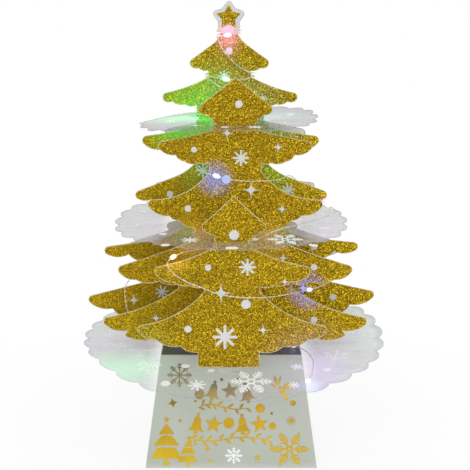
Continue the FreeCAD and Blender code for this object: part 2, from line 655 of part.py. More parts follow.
def battery_box():
    """The battery box: a cell bay open downwards, a closed switch bay beside it, and grooves for the lid."""
    outer = block("box_outside", "Sizes.box_left", BOX_RIGHT, BOX_FRONT, BOX_BACK, BOX_FLOOR, BOX_TOP)
    cells = block("box_cell_bay", BAY_LEFT, BAY_RIGHT, BAY_FRONT, BAY_BACK, f"{BOX_FLOOR} - 1", BAY_TOP)
    switch = block("box_switch_bay", "Sizes.box_left + Sizes.box_wall", f"{BAY_LEFT} - Sizes.box_wall",
                   BAY_FRONT, BAY_BACK, SWITCH_FLOOR, BAY_TOP)
    track = block("box_lid_track", BAY_LEFT, f"{BOX_RIGHT} + 1", f"{BAY_FRONT} - Sizes.lid_groove",
                  f"{BAY_BACK} + Sizes.lid_groove", f"{BOX_FLOOR} - {SKIN}", f"{LID_HIGH} + Sizes.lid_play")
    half_slot = f"(Sizes.knob_travel / 2 + {KNOB_LONG} / 2 + {KNOB_PLAY})"
    half_wide = f"({KNOB_WIDE} / 2 + {KNOB_PLAY})"
    knob_slot = block("box_knob_slot", f"{SWITCH_MIDDLE} - {half_wide}", f"{SWITCH_MIDDLE} + {half_wide}",
                      f"{BOX_MIDDLE} - {half_slot}", f"{BOX_MIDDLE} + {half_slot}",
                      f"{BOX_FLOOR} - 1", f"{SWITCH_FLOOR} + 1")
    lead_x, lead_y = (str(place) for place in LEAD_HOLE)
    lead = rod("box_lead_hole", f"Sizes.wire_thick / 2 + {LEAD_PLAY}", lead_x, lead_y,
               f"{BAY_TOP} - 1", "Sizes.box_wall + 3", V(0, 0, 1))
    sub_part(cut("box_moulding", outer, [cells, switch, track, knob_slot, lead]), "battery_box")


LID_INSET = 0.2  # the lid's end lies this far inside the box's end
GRIP_RIBS, GRIP_STEP, GRIP_WIDE, GRIP_DEEP = 4, 2.0, 1.0, 0.4
GRIP_FROM_END, GRIP_HALF_LONG = 5.0, 7.0


def battery_lid():
    """The sliding lid, with a row of grip ribs cut into its outer face."""
    side = "(Sizes.lid_groove - Sizes.lid_play)"
    plate = block("lid_plate", f"{BAY_LEFT} + Sizes.lid_play", f"{BOX_RIGHT} - {LID_INSET}",
                  f"{BAY_FRONT} - {side}", f"{BAY_BACK} + {side}", LID_LOW, LID_HIGH)
    grips = []
    for k in range(GRIP_RIBS):
        right = f"{BOX_RIGHT} - {GRIP_FROM_END + k * GRIP_STEP}"
        grips.append(block(f"lid_grip_{k + 1}", f"{right} - {GRIP_WIDE}", right,
                           f"{BOX_MIDDLE} - {GRIP_HALF_LONG}", f"{BOX_MIDDLE} + {GRIP_HALF_LONG}",
                           f"{LID_LOW} - 1", f"{LID_LOW} + {GRIP_DEEP}"))
    sub_part(cut("lid_moulding", plate, grips), "battery_lid")


PLATE_INSET = 0.6  # a contact plate's edges lie this far inside its cell's outline


def cells_and_contacts():
    """Three dry cells in a row, turned end for end, between contact plates and springs."""
    plates, springs = [], []
    left = f"({BAY_LEFT} + Sizes.contact_room)"
    for k in range(3):
        axis_y = f"({BOX_MIDDLE} + {k - 1} * {CELL_STEP})"
        cap_right = k % 2 == 0
        body_left = left if cap_right else f"({left} + Sizes.cell_cap_long)"
        can = rod(f"cell_{k + 1}_can", "Sizes.cell_wide / 2", body_left, axis_y, CELL_AXIS,
                  "Sizes.cell_long", V(1, 0, 0))
        cap_left = f"({left} + Sizes.cell_long)" if cap_right else left
        cap = rod(f"cell_{k + 1}_cap", "Sizes.cell_cap_wide / 2", cap_left, axis_y, CELL_AXIS,
                  "Sizes.cell_cap_long", V(1, 0, 0))
        sub_part(fused(f"cell_{k + 1}_whole", [can, cap]), f"cell_{k + 1}")
        half = f"(Sizes.cell_wide / 2 - {PLATE_INSET})"
        for end in (0, 1):
            wall = BAY_LEFT if end == 0 else f"({BAY_RIGHT} - Sizes.contact_plate)"
            plates.append(block(f"contact_{k + 1}_{end + 1}", wall, f"{wall} + Sizes.contact_plate",
                                f"{axis_y} - {half}", f"{axis_y} + {half}",
                                f"{CELL_LOW} + {PLATE_INSET}", f"{BAY_TOP} - {PLATE_INSET}"))
        springs.append((k, cap_right))
    sub_part(fused("contact_plates_all", plates), "contact_plates")
    sub_part(spring_group(springs), "contact_springs")


def value_of(expression):
    """The number that an expression over the sheet gives."""
    probe = doc.getObject("Probe") or doc.addObject("App::FeaturePython", "Probe")
    if "Reading" not in probe.PropertiesList:
        probe.addProperty("App::PropertyFloat", "Reading")
    probe.setExpression("Reading", expression)
    doc.recompute([probe])
    return float(probe.Reading)


LEAF_THICK, LEAF_HALF_WIDE, LEAF_HALF_TALL, LEAF_PLAY = 0.3, 2.0, 3.6, 0.05


def spring_group(springs):
    """A bowed leaf against the flat end of each cell, its feet on the contact plate."""
    depth = size("contact_room") - size("contact_plate") - 2 * LEAF_PLAY
    leaves = []
    for k, cap_right in springs:
        y = value_of(f"{BOX_MIDDLE} + {k - 1} * {CELL_STEP}")
        z = value_of(CELL_AXIS)
        out = 1 if cap_right else -1
        foot = value_of(BAY_LEFT if cap_right else BAY_RIGHT) + out * (size("contact_plate") + LEAF_PLAY)
        low, high = V(foot, y, z - LEAF_HALF_TALL), V(foot, y, z + LEAF_HALF_TALL)
        outer = Part.Arc(low, V(foot + out * depth, y, z), high)
        half = LEAF_HALF_TALL - 1.5 * LEAF_THICK
        hollow = V(foot + out * (depth - LEAF_THICK), y, z)
        inner = Part.Arc(V(foot, y, z + half), hollow, V(foot, y, z - half))
        ends = [Part.LineSegment(a.EndPoint, b.StartPoint) for a, b in ((outer, inner), (inner, outer))]
        outline = Part.Wire([edge.toShape() for edge in (outer, ends[0], inner, ends[1])])
        leaf = Part.Face(outline).extrude(V(0, 2 * LEAF_HALF_WIDE, 0))
        leaf.translate(V(0, -LEAF_HALF_WIDE, 0))
        leaves.append(leaf)
    group = doc.addObject("Part::Feature", "spring_leaves")
    group.Shape = Part.makeCompound(leaves)
    return group


KNOB_SIDE_PLAY = 0.2
KNOB_RISE = 1.4  # how far the knob stands in its housing
KNOB_FLUSH = 0.1  # how far the knob stays above the base's floor


def switch():
    """A slide switch in its bay, and its knob, which stays flush in the box's floor."""
    body = block("switch_case",
                 f"{SWITCH_MIDDLE} - {SWITCH_HALF_WIDE}", f"{SWITCH_MIDDLE} + {SWITCH_HALF_WIDE}",
                 f"{BOX_MIDDLE} - {SWITCH_HALF_LONG}", f"{BOX_MIDDLE} + {SWITCH_HALF_LONG}",
                 SWITCH_FLOOR, f"{SWITCH_FLOOR} + {SWITCH_TALL}")
    half_recess = f"(Sizes.knob_travel / 2 + {KNOB_LONG} / 2 + {KNOB_PLAY})"
    half_wide = f"({KNOB_WIDE} / 2 + {KNOB_SIDE_PLAY})"
    recess = block("switch_recess", f"{SWITCH_MIDDLE} - {half_wide}", f"{SWITCH_MIDDLE} + {half_wide}",
                   f"{BOX_MIDDLE} - {half_recess}", f"{BOX_MIDDLE} + {half_recess}",
                   f"{SWITCH_FLOOR} - 1", f"{SWITCH_FLOOR} + {KNOB_RISE} + {KNOB_SIDE_PLAY}")
    sub_part(cut("switch_housing", body, [recess]), "switch_body")
    knob_middle = f"({BOX_MIDDLE} - Sizes.knob_travel / 2)"
    knob = block("knob_bar", f"{SWITCH_MIDDLE} - {KNOB_WIDE} / 2", f"{SWITCH_MIDDLE} + {KNOB_WIDE} / 2",
                 f"{knob_middle} - {KNOB_LONG} / 2", f"{knob_middle} + {KNOB_LONG} / 2",
                 f"{BOX_FLOOR} + {KNOB_FLUSH}", f"{SWITCH_FLOOR} + {KNOB_RISE}")
    sub_part(knob, "switch_knob")


battery_box()
battery_lid()
cells_and_contacts()
switch()
doc.recompute()

# ------------------------------------------------------------------ string of lights

# The wire's route: out of the battery box, up behind the centre card to the star, and down again
# round the cards' necks to the last light, which lies on the bottom disc.
ROUTE = [
    (-40, 20, 11), (-40, 20, 21), (-34, 17.5, 38), (-15, 11, 56), (6, 8, 72), (6.6, 8.5, 98), (5.2, 7.4, 136),
    (6.7, 8.4, 180), (5.2, 7.5, 222), (5.8, 5.2, 250), (1.5, 5.6, 266), (-8.8, 4.2, 277), (-9.6, -2.5, 278.2),
    (5, -3.4, 280), (6.7, 2.4, 280.1), (-9.4, 2.2, 281.2), (-9.3, -2.6, 282), (5.6, -2.7, 282.2),
    (6.9, 4, 281.8), (-8.6, 4.4, 279.4), (-8.9, -4, 279.2), (-7.3, -4, 272.9), (-2, -3.6, 265.4),
    (5.6, -3.4, 258.5), (12.2, -3.4, 255.6), (15.3, -1.8, 255.2), (14.9, 3.3, 254.9), (-1, 4.4, 254.8),
    (-16.2, 3.2, 254.7), (-17.1, -2.7, 254.3), (-9.6, -5.3, 252.4), (3, -5.5, 250.8), (12.8, -4, 252.2),
    (15.5, -1.4, 253.2), (14.8, 2.4, 253.3), (-1, 2.6, 253), (-15.9, 2.6, 252.6), (-16.6, -2.4, 252.6),
    (-11.2, -3.2, 249.4), (-7.4, -3.5, 246.1), (3, -4.4, 242.4), (18.6, -5, 232.4), (24.7, -2.3, 230.4),
    (24.7, 2.4, 229.8), (17.6, 5, 229.4), (-2, 4, 229.4), (-18.2, 5, 229.2), (-24.8, 2.2, 229),
    (-24.6, -2.6, 229), (-18.6, -6, 229.2), (-7, -11, 229.4), (1.6, -14.2, 227.6), (4, -15.4, 221.5),
    (-4, -16.5, 212), (-19.5, -20.5, 202.5), (-23.4, -28.6, 198.6), (-16.4, -33.2, 196.2), (-2, -33.2, 191.8),
    (10.6, -33.2, 190.4), (28.4, -29.5, 190.4), (34.8, -12, 188.8), (38.5, 0.5, 188.6), (44, 9, 183),
    (59.2, 7, 170.4), (70, -5, 165.7), (66.5, -17, 165.6), (53, -33, 165.4), (37, -42, 163.6),
    (24.5, -44, 160.6), (16.6, -43.4, 155.6), (2, -44, 151.2), (-17, -46, 150.4), (-31, -52.5, 149.8),
    (-40, -62.5, 146.8), (-37, -64.4, 141), (-29, -62.8, 134.6), (-19.8, -61.8, 130.6), (-8, -61.4, 125.4),
    (5, -61.2, 123.2), (20, -60.8, 123), (35, -51, 121.8), (45, -39, 120.2), (56, -28, 118.8),
    (66, -15, 119.2), (71, -2, 119.4), (61, 12, 118), (38, 15.5, 116), (12, 15, 113.6), (-16, 15.5, 112),
    (-44, 12.5, 114), (-66, 4, 118), (-72.5, -7, 114), (-70, -16.5, 101), (-66, -17.5, 88), (-57, -18, 79.4),
    (-38, -18.4, 78), (-14, -13.5, 77.9), (12, -14, 78), (34, -19, 77.9), (48, -31, 78), (53, -50, 78),
    (50.5, -70, 78), (48.4, -78, 77.8), (44.4, -90, 77.4),
]
# The runs of the route that carry a light at their middle.
LIT_RUNS = [12, 30, 49, 44, 56, 63, 72, 81, 87, 93, 95, 98, 102]


def wire_path(points):
    """The route's straight runs, joined by tangent arcs as large as the shorter run allows."""
    points = [V(*p) for p in points]
    edges, at, radii = [], points[0], []
    for before, corner, after in zip(points, points[1:], points[2:]):
        into, out = corner - before, after - corner
        turn = into.getAngle(out)
        setback = 0.45 * min(into.Length, out.Length)
        radii.append(setback / math.tan(turn / 2))
        a = corner - V(into).normalize() * setback
        b = corner + V(out).normalize() * setback
        inward = (a + b) * 0.5 - corner
        depth = radii[-1] / math.cos(turn / 2) - radii[-1]
        middle = corner + V(inward).normalize() * depth
        edges += [Part.LineSegment(at, a).toShape(), Part.Arc(a, middle, b).toShape()]
        at = b
    edges.append(Part.LineSegment(at, points[-1]).toShape())
    return Part.Wire(edges), radii


WIRE_SIDES = 4
BEAD_SIDES = 8
BEAD_CHAMFER = 0.8


def wire_section():
    """A small regular polygon across the route's start, as thick as the wire."""
    start = V(*ROUTE[0])
    turn = FreeCAD.Rotation(V(0, 0, 1), V(*ROUTE[1]) - start)
    radius = size("wire_thick") / 2
    angles = [2 * math.pi * k / WIRE_SIDES for k in range(WIRE_SIDES)]
    corners = [start + turn.multVec(V(radius * math.cos(a), radius * math.sin(a), 0)) for a in angles]
    return Part.makePolygon(corners + corners[:1])


def string_of_lights():
    """The wire as one tube, and its lights as separate resin beads threaded on it."""
    path, radii = wire_path(ROUTE)
    wire = doc.addObject("Part::Feature", "wire_tube")
    wire.Shape = path.makePipeShell([wire_section()], True, False)
    sub_part(wire, "light_wire")
    section_area = WIRE_SIDES / 2 * math.sin(2 * math.pi / WIRE_SIDES) * size("wire_thick") ** 2 / 4
    print(f"wire: {path.Length:.0f} mm long, volume {wire.Shape.Volume:.1f}, "
          f"section times length {section_area * path.Length:.1f}")
    print("wire radii:", " ".join(f"{k}:{r:.1f}" for k, r in enumerate(radii, start=1) if r < 5))
    for number, run in enumerate(LIT_RUNS, start=1):
        a, b = V(*ROUTE[run]), V(*ROUTE[run + 1])
        bar = doc.addObject("Part::Prism", f"bead_{number:02d}_bar")
        bar.Polygon = BEAD_SIDES
        bind(bar, Circumradius="Sizes.bead_wide / 2", Height="Sizes.bead_long")
        half = (b - a).normalize() * (size("bead_long") / 2)
        bar.Placement = FreeCAD.Placement((a + b) * 0.5 - half, FreeCAD.Rotation(V(0, 0, 1), b - a))
        doc.recompute([bar])
        bead = doc.addObject("Part::Chamfer", f"bead_{number:02d}")
        bead.Base = bar
        rims = []
        for k, edge in enumerate(bar.Shape.Edges, start=1):
            ends = [vertex.Point for vertex in edge.Vertexes]
            if abs((ends[1] - ends[0]).dot(half)) < 1e-6:
                rims.append((k, BEAD_CHAMFER, BEAD_CHAMFER))
        bead.Edges = rims
        sub_part(bead, f"light_{number:02d}")


string_of_lights()
doc.recompute()

# ------------------------------------------------------------------ checks and files

for obj in doc.Objects:
    if "Invalid" in obj.State or "Error" in obj.State:
        raise RuntimeError(f"{obj.Label} failed to recompute: {obj.State}")
for obj in PARTS:
    if obj.Shape.isNull() or not obj.Shape.isValid() or not obj.Shape.Solids:
        raise RuntimeError(f"{obj.Label} has no valid solid")

os.makedirs("parts", exist_ok=True)
for obj in PARTS:
    obj.Shape.exportStep(f"parts/{obj.Label}.step")
    box = obj.Shape.BoundBox
    print(f"{obj.Label}: {len(obj.Shape.Solids)} solid, volume {obj.Shape.Volume:.1f}, "
          f"x {box.XMin:.1f}..{box.XMax:.1f}, y {box.YMin:.1f}..{box.YMax:.1f}, "
          f"z {box.ZMin:.1f}..{box.ZMax:.1f}")
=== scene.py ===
"""A paper christmas tree: glitter cards slotted into scalloped film discs over a flared film box, with a string
of small lights."""
import math

import bpy
import numpy as np
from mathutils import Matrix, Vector


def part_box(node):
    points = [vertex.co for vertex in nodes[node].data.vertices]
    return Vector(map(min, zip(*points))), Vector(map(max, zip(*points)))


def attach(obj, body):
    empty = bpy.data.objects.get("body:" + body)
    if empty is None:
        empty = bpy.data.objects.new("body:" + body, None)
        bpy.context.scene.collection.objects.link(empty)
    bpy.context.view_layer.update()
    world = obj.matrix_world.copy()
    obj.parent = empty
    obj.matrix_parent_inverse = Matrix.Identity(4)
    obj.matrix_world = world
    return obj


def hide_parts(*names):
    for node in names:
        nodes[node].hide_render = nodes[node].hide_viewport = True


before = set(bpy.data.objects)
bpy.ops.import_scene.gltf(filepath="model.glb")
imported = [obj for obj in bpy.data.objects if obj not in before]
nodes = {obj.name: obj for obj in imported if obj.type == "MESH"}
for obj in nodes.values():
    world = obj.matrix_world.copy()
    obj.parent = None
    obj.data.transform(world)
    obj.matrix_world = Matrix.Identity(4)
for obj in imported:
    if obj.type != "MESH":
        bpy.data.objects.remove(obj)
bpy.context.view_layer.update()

MM = 0.001


# ------------------------------------------------------------------ camera and studio

lens = bpy.data.cameras.new("lens")
lens.lens = 70.49
lens.sensor_fit = "HORIZONTAL"
lens.sensor_width = 36.0
lens.shift_x = 0.0081
lens.clip_start = 0.01
camera = bpy.data.objects.new("camera", lens)
camera.location = (0.0, -0.600, 0.3018)
camera.rotation_euler = (math.radians(75.563), 0.0, 0.0)
scene = bpy.context.scene
scene.collection.objects.link(camera)
scene.camera = camera
scene.view_settings.view_transform = "Standard"


def add(tree, kind, settings=(), sockets=()):
    """One node in a material's tree, with its settings and its sockets' values or links."""
    made = tree.nodes.new("ShaderNode" + kind)
    for name, value in dict(settings).items():
        setattr(made, name, value)
    for name, value in dict(sockets).items():
        if isinstance(value, bpy.types.NodeSocket):
            tree.links.new(value, made.inputs[name])
        else:
            made.inputs[name].default_value = value
    return made


def finish_named(name, **plain):
    """A new material, its tree, its Principled shader with plain values such as Roughness set on it, and the place
    on the object."""
    material = bpy.data.materials.new(name)
    material.use_nodes = True
    tree = material.node_tree
    skin = next(n for n in tree.nodes if n.type == "BSDF_PRINCIPLED")
    for socket, value in plain.items():
        skin.inputs[socket.replace("_", " ")].default_value = value
    return material, tree, skin, add(tree, "TexCoord").outputs["Object"]


def math_of(tree, operation, first, second, **settings):
    """The result of one Math node."""
    return add(tree, "Math", {"operation": operation, **settings}, {0: first, 1: second}).outputs[0]


def vector_of(tree, operation, first, second):
    """The result of one Vector Math node; SCALE takes a number second, and DISTANCE gives one."""
    other = "Scale" if operation == "SCALE" else 1
    made = add(tree, "VectorMath", {"operation": operation}, {0: first, other: second})
    return made.outputs["Value" if operation == "DISTANCE" else "Vector"]


def ranged(tree, value, low, high, start, end, smooth=False):
    """A value's way from low to high, as a number that goes from start to end and stays there."""
    settings = {"interpolation_type": "SMOOTHSTEP"} if smooth else {}
    return add(tree, "MapRange", settings, {"Value": value, 1: low, 2: high, 3: start, 4: end}).outputs[0]


def mixed(tree, share, first, second):
    """Two colours mixed: all of the first where the share is 0, and all of the second where it is 1."""
    return add(tree, "Mix", {"data_type": "RGBA"}, {0: share, 6: first, 7: second}).outputs[2]


def noise(tree, place, scale, detail):
    """Smooth noise, from about 0.3 to 0.7."""
    return add(tree, "TexNoise", {}, {"Vector": place, "Scale": scale, "Detail": detail}).outputs[0]


def roughen(tree, skin, height, strength, distance):
    """Lifts and dents a finish a little by a height."""
    bump = add(tree, "Bump", {}, {"Strength": strength, "Distance": distance, "Height": height})
    tree.links.new(bump.outputs[0], skin.inputs["Normal"])


def part_of(tree, place, axis):
    """One of a vector's three parts."""
    return add(tree, "SeparateXYZ", {}, {0: place}).outputs[axis]


def mirror_or_camera(tree):
    """1 for the rays that come from the camera, from a mirror or through clear film, and 0 for the rest."""
    path = add(tree, "LightPath")
    seen = path.outputs["Is Camera Ray"]
    for ray in ("Is Glossy Ray", "Is Transmission Ray"):
        seen = math_of(tree, "MAXIMUM", seen, path.outputs[ray])
    return seen


def shown_white(tree, shade, share):
    """Mixes the shading with plain white light of strength 1, for what a camera, a mirror or clear film sees."""
    part = math_of(tree, "MULTIPLY", mirror_or_camera(tree), share)
    white = add(tree, "Emission", {}, {"Color": (1, 1, 1, 1), "Strength": 1.0})
    mix = add(tree, "MixShader", {}, {0: part, 1: shade, 2: white.outputs[0]})
    return mix.outputs[0]


def studio():
    """A pale floor that turns up into a backdrop, four soft lamps and a plain white world.

    The floor lies a fifth of a millimetre under the object's foot. The sweep is a straight line carried sideways
    along a profile: a level run, a quarter circle and an upright run. Rows go along the profile and columns
    across it."""
    near, far, bend, top, half_width = -6.0, 3.0, 1.2, 7.0, 8.0
    turn = np.linspace(0.0, math.pi / 2, 25)
    along = np.concatenate(([near], far + bend * np.sin(turn), [far + bend]))
    up = np.concatenate(([0.0], bend - bend * np.cos(turn), [top])) - 0.2 * MM
    across = np.array([-half_width, half_width])
    points = np.stack(np.broadcast_arrays(across[None, :], along[:, None], up[:, None]), axis=-1)
    first = 2 * np.arange(len(along) - 1)
    faces = np.stack([first, first + 1, first + 3, first + 2], axis=1)
    mesh = bpy.data.meshes.new("paper_sweep")
    mesh.from_pydata(points.reshape(-1, 3), [], faces)
    mesh.polygons.foreach_set("use_smooth", np.ones(len(faces), bool))
    sweep = bpy.data.objects.new("paper_sweep", mesh)
    scene.collection.objects.link(sweep)
    material, tree, skin, place = finish_named("pale_paper_floor", Roughness=0.9)
    tree.links.new(ranged(tree, noise(tree, place, 90.0, 3.0), 0.0, 1.0, 0.9, 0.94), skin.inputs["Base Color"])
    away = vector_of(tree, "DISTANCE", place, (0.0, 0.0, 0.0))
    sheet = shown_white(tree, skin.outputs[0], ranged(tree, away, 0.10, 0.28, 0.86, 1.0, True))
    tree.links.new(sheet, tree.nodes["Material Output"].inputs[0])
    mesh.materials.append(material)

    world = bpy.data.worlds.new("soft_room")
    scene.world = world
    world.use_nodes = True
    tree = world.node_tree
    room = next(n for n in tree.nodes if n.type == "BACKGROUND")
    room.inputs["Color"].default_value = (1, 1, 1, 1)
    tree.links.new(ranged(tree, mirror_or_camera(tree), 0.0, 1.0, 0.75, 1.0), room.inputs["Strength"])

    for name, place, size, power in (("key_lamp", (-0.9, -1.5, 1.2), 1.2, 9.0),
                                     ("fill_lamp", (1.3, -1.1, 0.9), 1.2, 5.0),
                                     ("low_lamp", (0.2, -1.7, 0.25), 0.8, 4.0),
                                     ("back_lamp", (0.3, 1.6, 1.6), 1.2, 6.0)):
        lamp = bpy.data.lights.new(name, "AREA")
        lamp.shape = "DISK"
        lamp.size = size
        lamp.energy = power
        holder = bpy.data.objects.new(name, lamp)
        holder.location = place
        aim = Vector((0.0, 0.0, 0.15)) - Vector(place)
        holder.rotation_euler = aim.to_track_quat("-Z", "Y").to_euler()
        scene.collection.objects.link(holder)


studio()

# ------------------------------------------------------------------ the lights' places and colours

LIGHTS = {
    "light_01": (1.0, 0.32, 0.62), "light_02": (0.25, 1.0, 0.45), "light_03": (0.05, 1.0, 0.14),
    "light_04": (0.20, 1.0, 0.60), "light_05": (0.16, 0.28, 1.0), "light_06": (1.0, 0.35, 0.75),
    "light_07": (1.0, 0.62, 0.10), "light_08": (0.20, 0.22, 1.0), "light_09": (0.08, 0.9, 0.15),
    "light_10": (0.20, 1.0, 0.45), "light_11": (0.35, 0.32, 1.0), "light_12": (0.48, 0.36, 1.0),
    "light_13": (0.30, 0.42, 1.0),
}

# Painted light: pools of coloured light painted into the finishes' colour and glow, not cast by the lamps. Each pool:
# the light it comes from, its middle as an offset from that light in millimetres, how far it carries and how strong
# it is. Cards throw some of the light aside, so a pool need not lie round its light.
PAINTED_POOLS = [
    ("light_01", (0, 0, -1), 11.0, 1.1), ("light_01", (1, 0, -6), 12.0, 0.35),
    ("light_02", (0, 0, 0), 6.0, 0.8), ("light_02", (0, 3, -3), 27.0, 0.16),
    ("light_03", (-10, 15, 1), 40.0, 0.78), ("light_03", (-3, 0, -6), 10.0, 0.9),
    ("light_03", (-27, 12, -14), 22.0, 0.3), ("light_04", (8, 4, 4), 30.0, 0.22),
    ("light_04", (12, -12, -6), 9.0, 0.6), ("light_04", (26, 2, -12), 22.0, 0.22),
    ("light_05", (-1.3, 0, -2.5), 15.0, 1.25), ("light_06", (0, 0, 0), 9.0, 0.8),
    ("light_07", (0, 0, 0), 15.0, 0.7),
    ("light_08", (-0.5, 0.5, -2.5), 17.0, 1.15), ("light_09", (-20.6, -9, 78), 22.0, 0.22),
    ("light_09", (29, -9, 78), 24.0, 0.3), ("light_09", (0, 0, 0), 18.0, 0.5),
    ("light_10", (-3, -42, -10), 40.0, 0.36),
    ("light_09", (-26, -11, 41), 22.0, 0.25), ("light_09", (34, -11, 41), 22.0, 0.22),
    ("light_07", (10, 26, 2), 24.0, 0.3), ("light_07", (60, 26, 2), 24.0, 0.3),
    ("light_11", (0, 0, 0), 20.0, 0.4), ("light_12", (10, -30, -6), 44.0, 0.3), ("light_13", (0, 0, 0), 12.0, 0.7),
]


def middle(name):
    """The middle of a CAD node's box."""
    low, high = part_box(name)
    return (low + high) / 2


def painted_glow_field(tree, place, shine):
    """The sum of the painted pools of coloured light: each falls smoothly from its strength at its middle to 0 at its
    reach. shine is plain white light painted on all over."""
    total = None
    for name, aside, reach, strength in PAINTED_POOLS:
        away = vector_of(tree, "DISTANCE", place, middle(name) + Vector(aside) * MM)
        near = ranged(tree, away, 0.0, reach * MM, strength, 0.0, True)
        part = add(tree, "VectorMath", {"operation": "MULTIPLY_ADD"}, {0: near, 1: LIGHTS[name]})
        if total is None:
            part.inputs[2].default_value = (shine, shine, shine)
        else:
            tree.links.new(total, part.inputs[2])
        total = part.outputs[0]
    return total


def take_painted_glow(tree, skin, place, body, keep, strength, shine=0.0):
    """Paints the pools' light on a finish: its own colour gives way where they are strong, down to a share it keeps,
    and what they add, as painted glow, is their colour times an even mix of plain white and the finish's colour."""
    glow = painted_glow_field(tree, place, shine)
    most = add(tree, "SeparateXYZ", {}, {0: glow})
    level = math_of(tree, "MAXIMUM", math_of(tree, "MAXIMUM", most.outputs[0], most.outputs[1]), most.outputs[2])
    kept = vector_of(tree, "SCALE", body, ranged(tree, level, 0.0, 1.0, 1.0, keep))
    tree.links.new(kept, skin.inputs["Base Color"])
    paled = vector_of(tree, "ADD", vector_of(tree, "SCALE", body, 0.5), (0.5, 0.5, 0.5))
    tree.links.new(vector_of(tree, "MULTIPLY", glow, paled), skin.inputs["Emission Color"])
    skin.inputs["Emission Strength"].default_value = strength


# ------------------------------------------------------------------ finishes

def srgb(red, green, blue):
    """A colour written as 0 to 255 on a screen, as the shaders want it."""
    share = np.array([red, green, blue]) / 255.0
    linear = np.where(share > 0.04045, ((share + 0.055) / 1.055) ** 2.4, share / 12.92)
    return [*linear.tolist(), 1.0]


def ramp(tree, value, stops):
    """A colour ramp through stops of (place, colour)."""
    made = add(tree, "ValToRGB", {}, {0: value})
    while len(made.color_ramp.elements) < len(stops):
        made.color_ramp.elements.new(0.5)
    for element, (place, colour) in zip(made.color_ramp.elements, stops):
        element.position = place
        element.color = colour
    return made.outputs[0]


def glitter(tree, place, deep, plain, bright):
    """Flakes under half a millimetre wide: each has its own shine and tilt, and a tone from deep to bright: painted
    shade on the deep flakes and painted glints on the bright ones. Gives colour, roughness and normal."""
    flakes = add(tree, "TexVoronoi", {}, {"Vector": place, "Scale": 2300.0})
    odds = add(tree, "SeparateColor", {}, {0: flakes.outputs["Color"]})
    # Painted glints and shade: the flakes' tones run from deep, as if turned from the light, to bright, as if
    # catching it.
    tone = ramp(tree, odds.outputs[0], [(0.0, deep), (0.5, plain), (0.8, plain), (0.9, bright)])
    colour = vector_of(tree, "SCALE", tone, ranged(tree, noise(tree, place, 45.0, 3.0), 0.3, 0.7, 0.93, 1.05))
    lean = vector_of(tree, "SCALE", vector_of(tree, "SUBTRACT", flakes.outputs["Color"], (0.5, 0.5, 0.5)), 1.1)
    facing = vector_of(tree, "ADD", lean, add(tree, "NewGeometry").outputs["Normal"])
    normal = add(tree, "VectorMath", {"operation": "NORMALIZE"}, {0: facing}).outputs[0]
    return colour, ranged(tree, odds.outputs[1], 0.0, 1.0, 0.22, 0.5), normal


def card_finish(name, gold_front, gold_back, painted_lift=(0.12, 0.15, 1.0), green=1.0, printed=(0.0, 1.0)):
    """Glitter card. A side without glitter shows the pale paper, cut edges are pale, and below and above the two
    heights of printed it is bare film.

    The gold below the first height of lower is painted brighter than above the second, by the third number: painted
    light that lifts the shade under the discs. green is how much its green is raised in the upper half."""
    material, tree, skin, place = finish_named(name, Specular_IOR_Level=0.15)
    height = part_of(tree, place, "Z")
    colour, polish, normal = glitter(tree, place, srgb(88, 60, 0), srgb(156, 126, 6), srgb(246, 214, 46))
    olive = add(tree, "CombineXYZ", {}, {0: 1.0, 1: ranged(tree, height, 0.13, 0.17, 1.0, green), 2: 1.0})
    colour = vector_of(tree, "MULTIPLY", colour, olive.outputs[0])
    # Painted light: the gold is made brighter low down, to lift the shade that the discs cast there.
    colour = vector_of(tree, "SCALE", colour, ranged(tree, height, *painted_lift, 1.0))
    facing = part_of(tree, add(tree, "TexCoord").outputs["Normal"], "Y")
    sides = []
    if gold_front:
        sides.append(math_of(tree, "LESS_THAN", facing, -0.5))
    if gold_back:
        sides.append(math_of(tree, "GREATER_THAN", facing, 0.5))
    gold = sides[0] if len(sides) == 1 else math_of(tree, "MAXIMUM", *sides)
    blank = ramp(tree, noise(tree, place, 420.0, 4.0), [(0.3, srgb(224, 223, 223)), (0.7, srgb(242, 241, 240))])
    if printed != (0.0, 1.0):
        film = math_of(tree, "MAXIMUM", math_of(tree, "LESS_THAN", height, printed[0]),
                       math_of(tree, "GREATER_THAN", height, printed[1]))
        gold = math_of(tree, "SUBTRACT", gold, film, use_clamp=True)
        cover = 0.72 if printed[1] < 1.0 else 0.2
        tree.links.new(ranged(tree, film, 0.0, 1.0, 1.0, cover), skin.inputs["Alpha"])
        blank = mixed(tree, film, blank, srgb(204, 203, 206))
    take_painted_glow(tree, skin, place, mixed(tree, gold, blank, colour), 0.65, 1.0)
    rough = math_of(tree, "MAXIMUM", ranged(tree, gold, 0.0, 1.0, 0.75, 0.0), polish)
    tree.links.new(rough, skin.inputs["Roughness"])
    tree.links.new(math_of(tree, "MULTIPLY", gold, 0.55), skin.inputs["Metallic"])
    even = add(tree, "Mix", {"data_type": "VECTOR"},
               {0: gold, 4: add(tree, "NewGeometry").outputs["Normal"], 5: normal})
    tree.links.new(even.outputs[1], skin.inputs["Normal"])
    return material


def give(node, material):
    """Puts a finish in a CAD node's own material slot."""
    slots = nodes[node].data.materials
    if slots:
        slots[0] = material
    else:
        slots.append(material)


# The centre card is bare film above 280 mm, and the outer cards in their lowest 3.5 mm.
# The centre card's gold is painted 1.2 times brighter below 215 mm: painted light under the discs.
give("card_centre", card_finish("gold_card_both_sides", True, True, (0.215, 0.235, 1.2), 1.04, (0.0, 0.280)))
OUTER_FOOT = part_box("card_front_outer")[0].z + 3.5 * MM
# The inner cards' gold is painted 1.15 times brighter below 115 mm, and the outer cards' is not lifted.
for place, foot, painted_lift in (("inner", 0.0, (0.115, 0.15, 1.15)), ("outer", OUTER_FOOT, (0.12, 0.15, 1.0))):
    give("card_front_" + place, card_finish("gold_front_" + place, True, False, painted_lift, 1.0, (foot, 1.0)))
    give("card_back_" + place, card_finish("gold_back_" + place, False, True, painted_lift, 1.0, (foot, 1.0)))


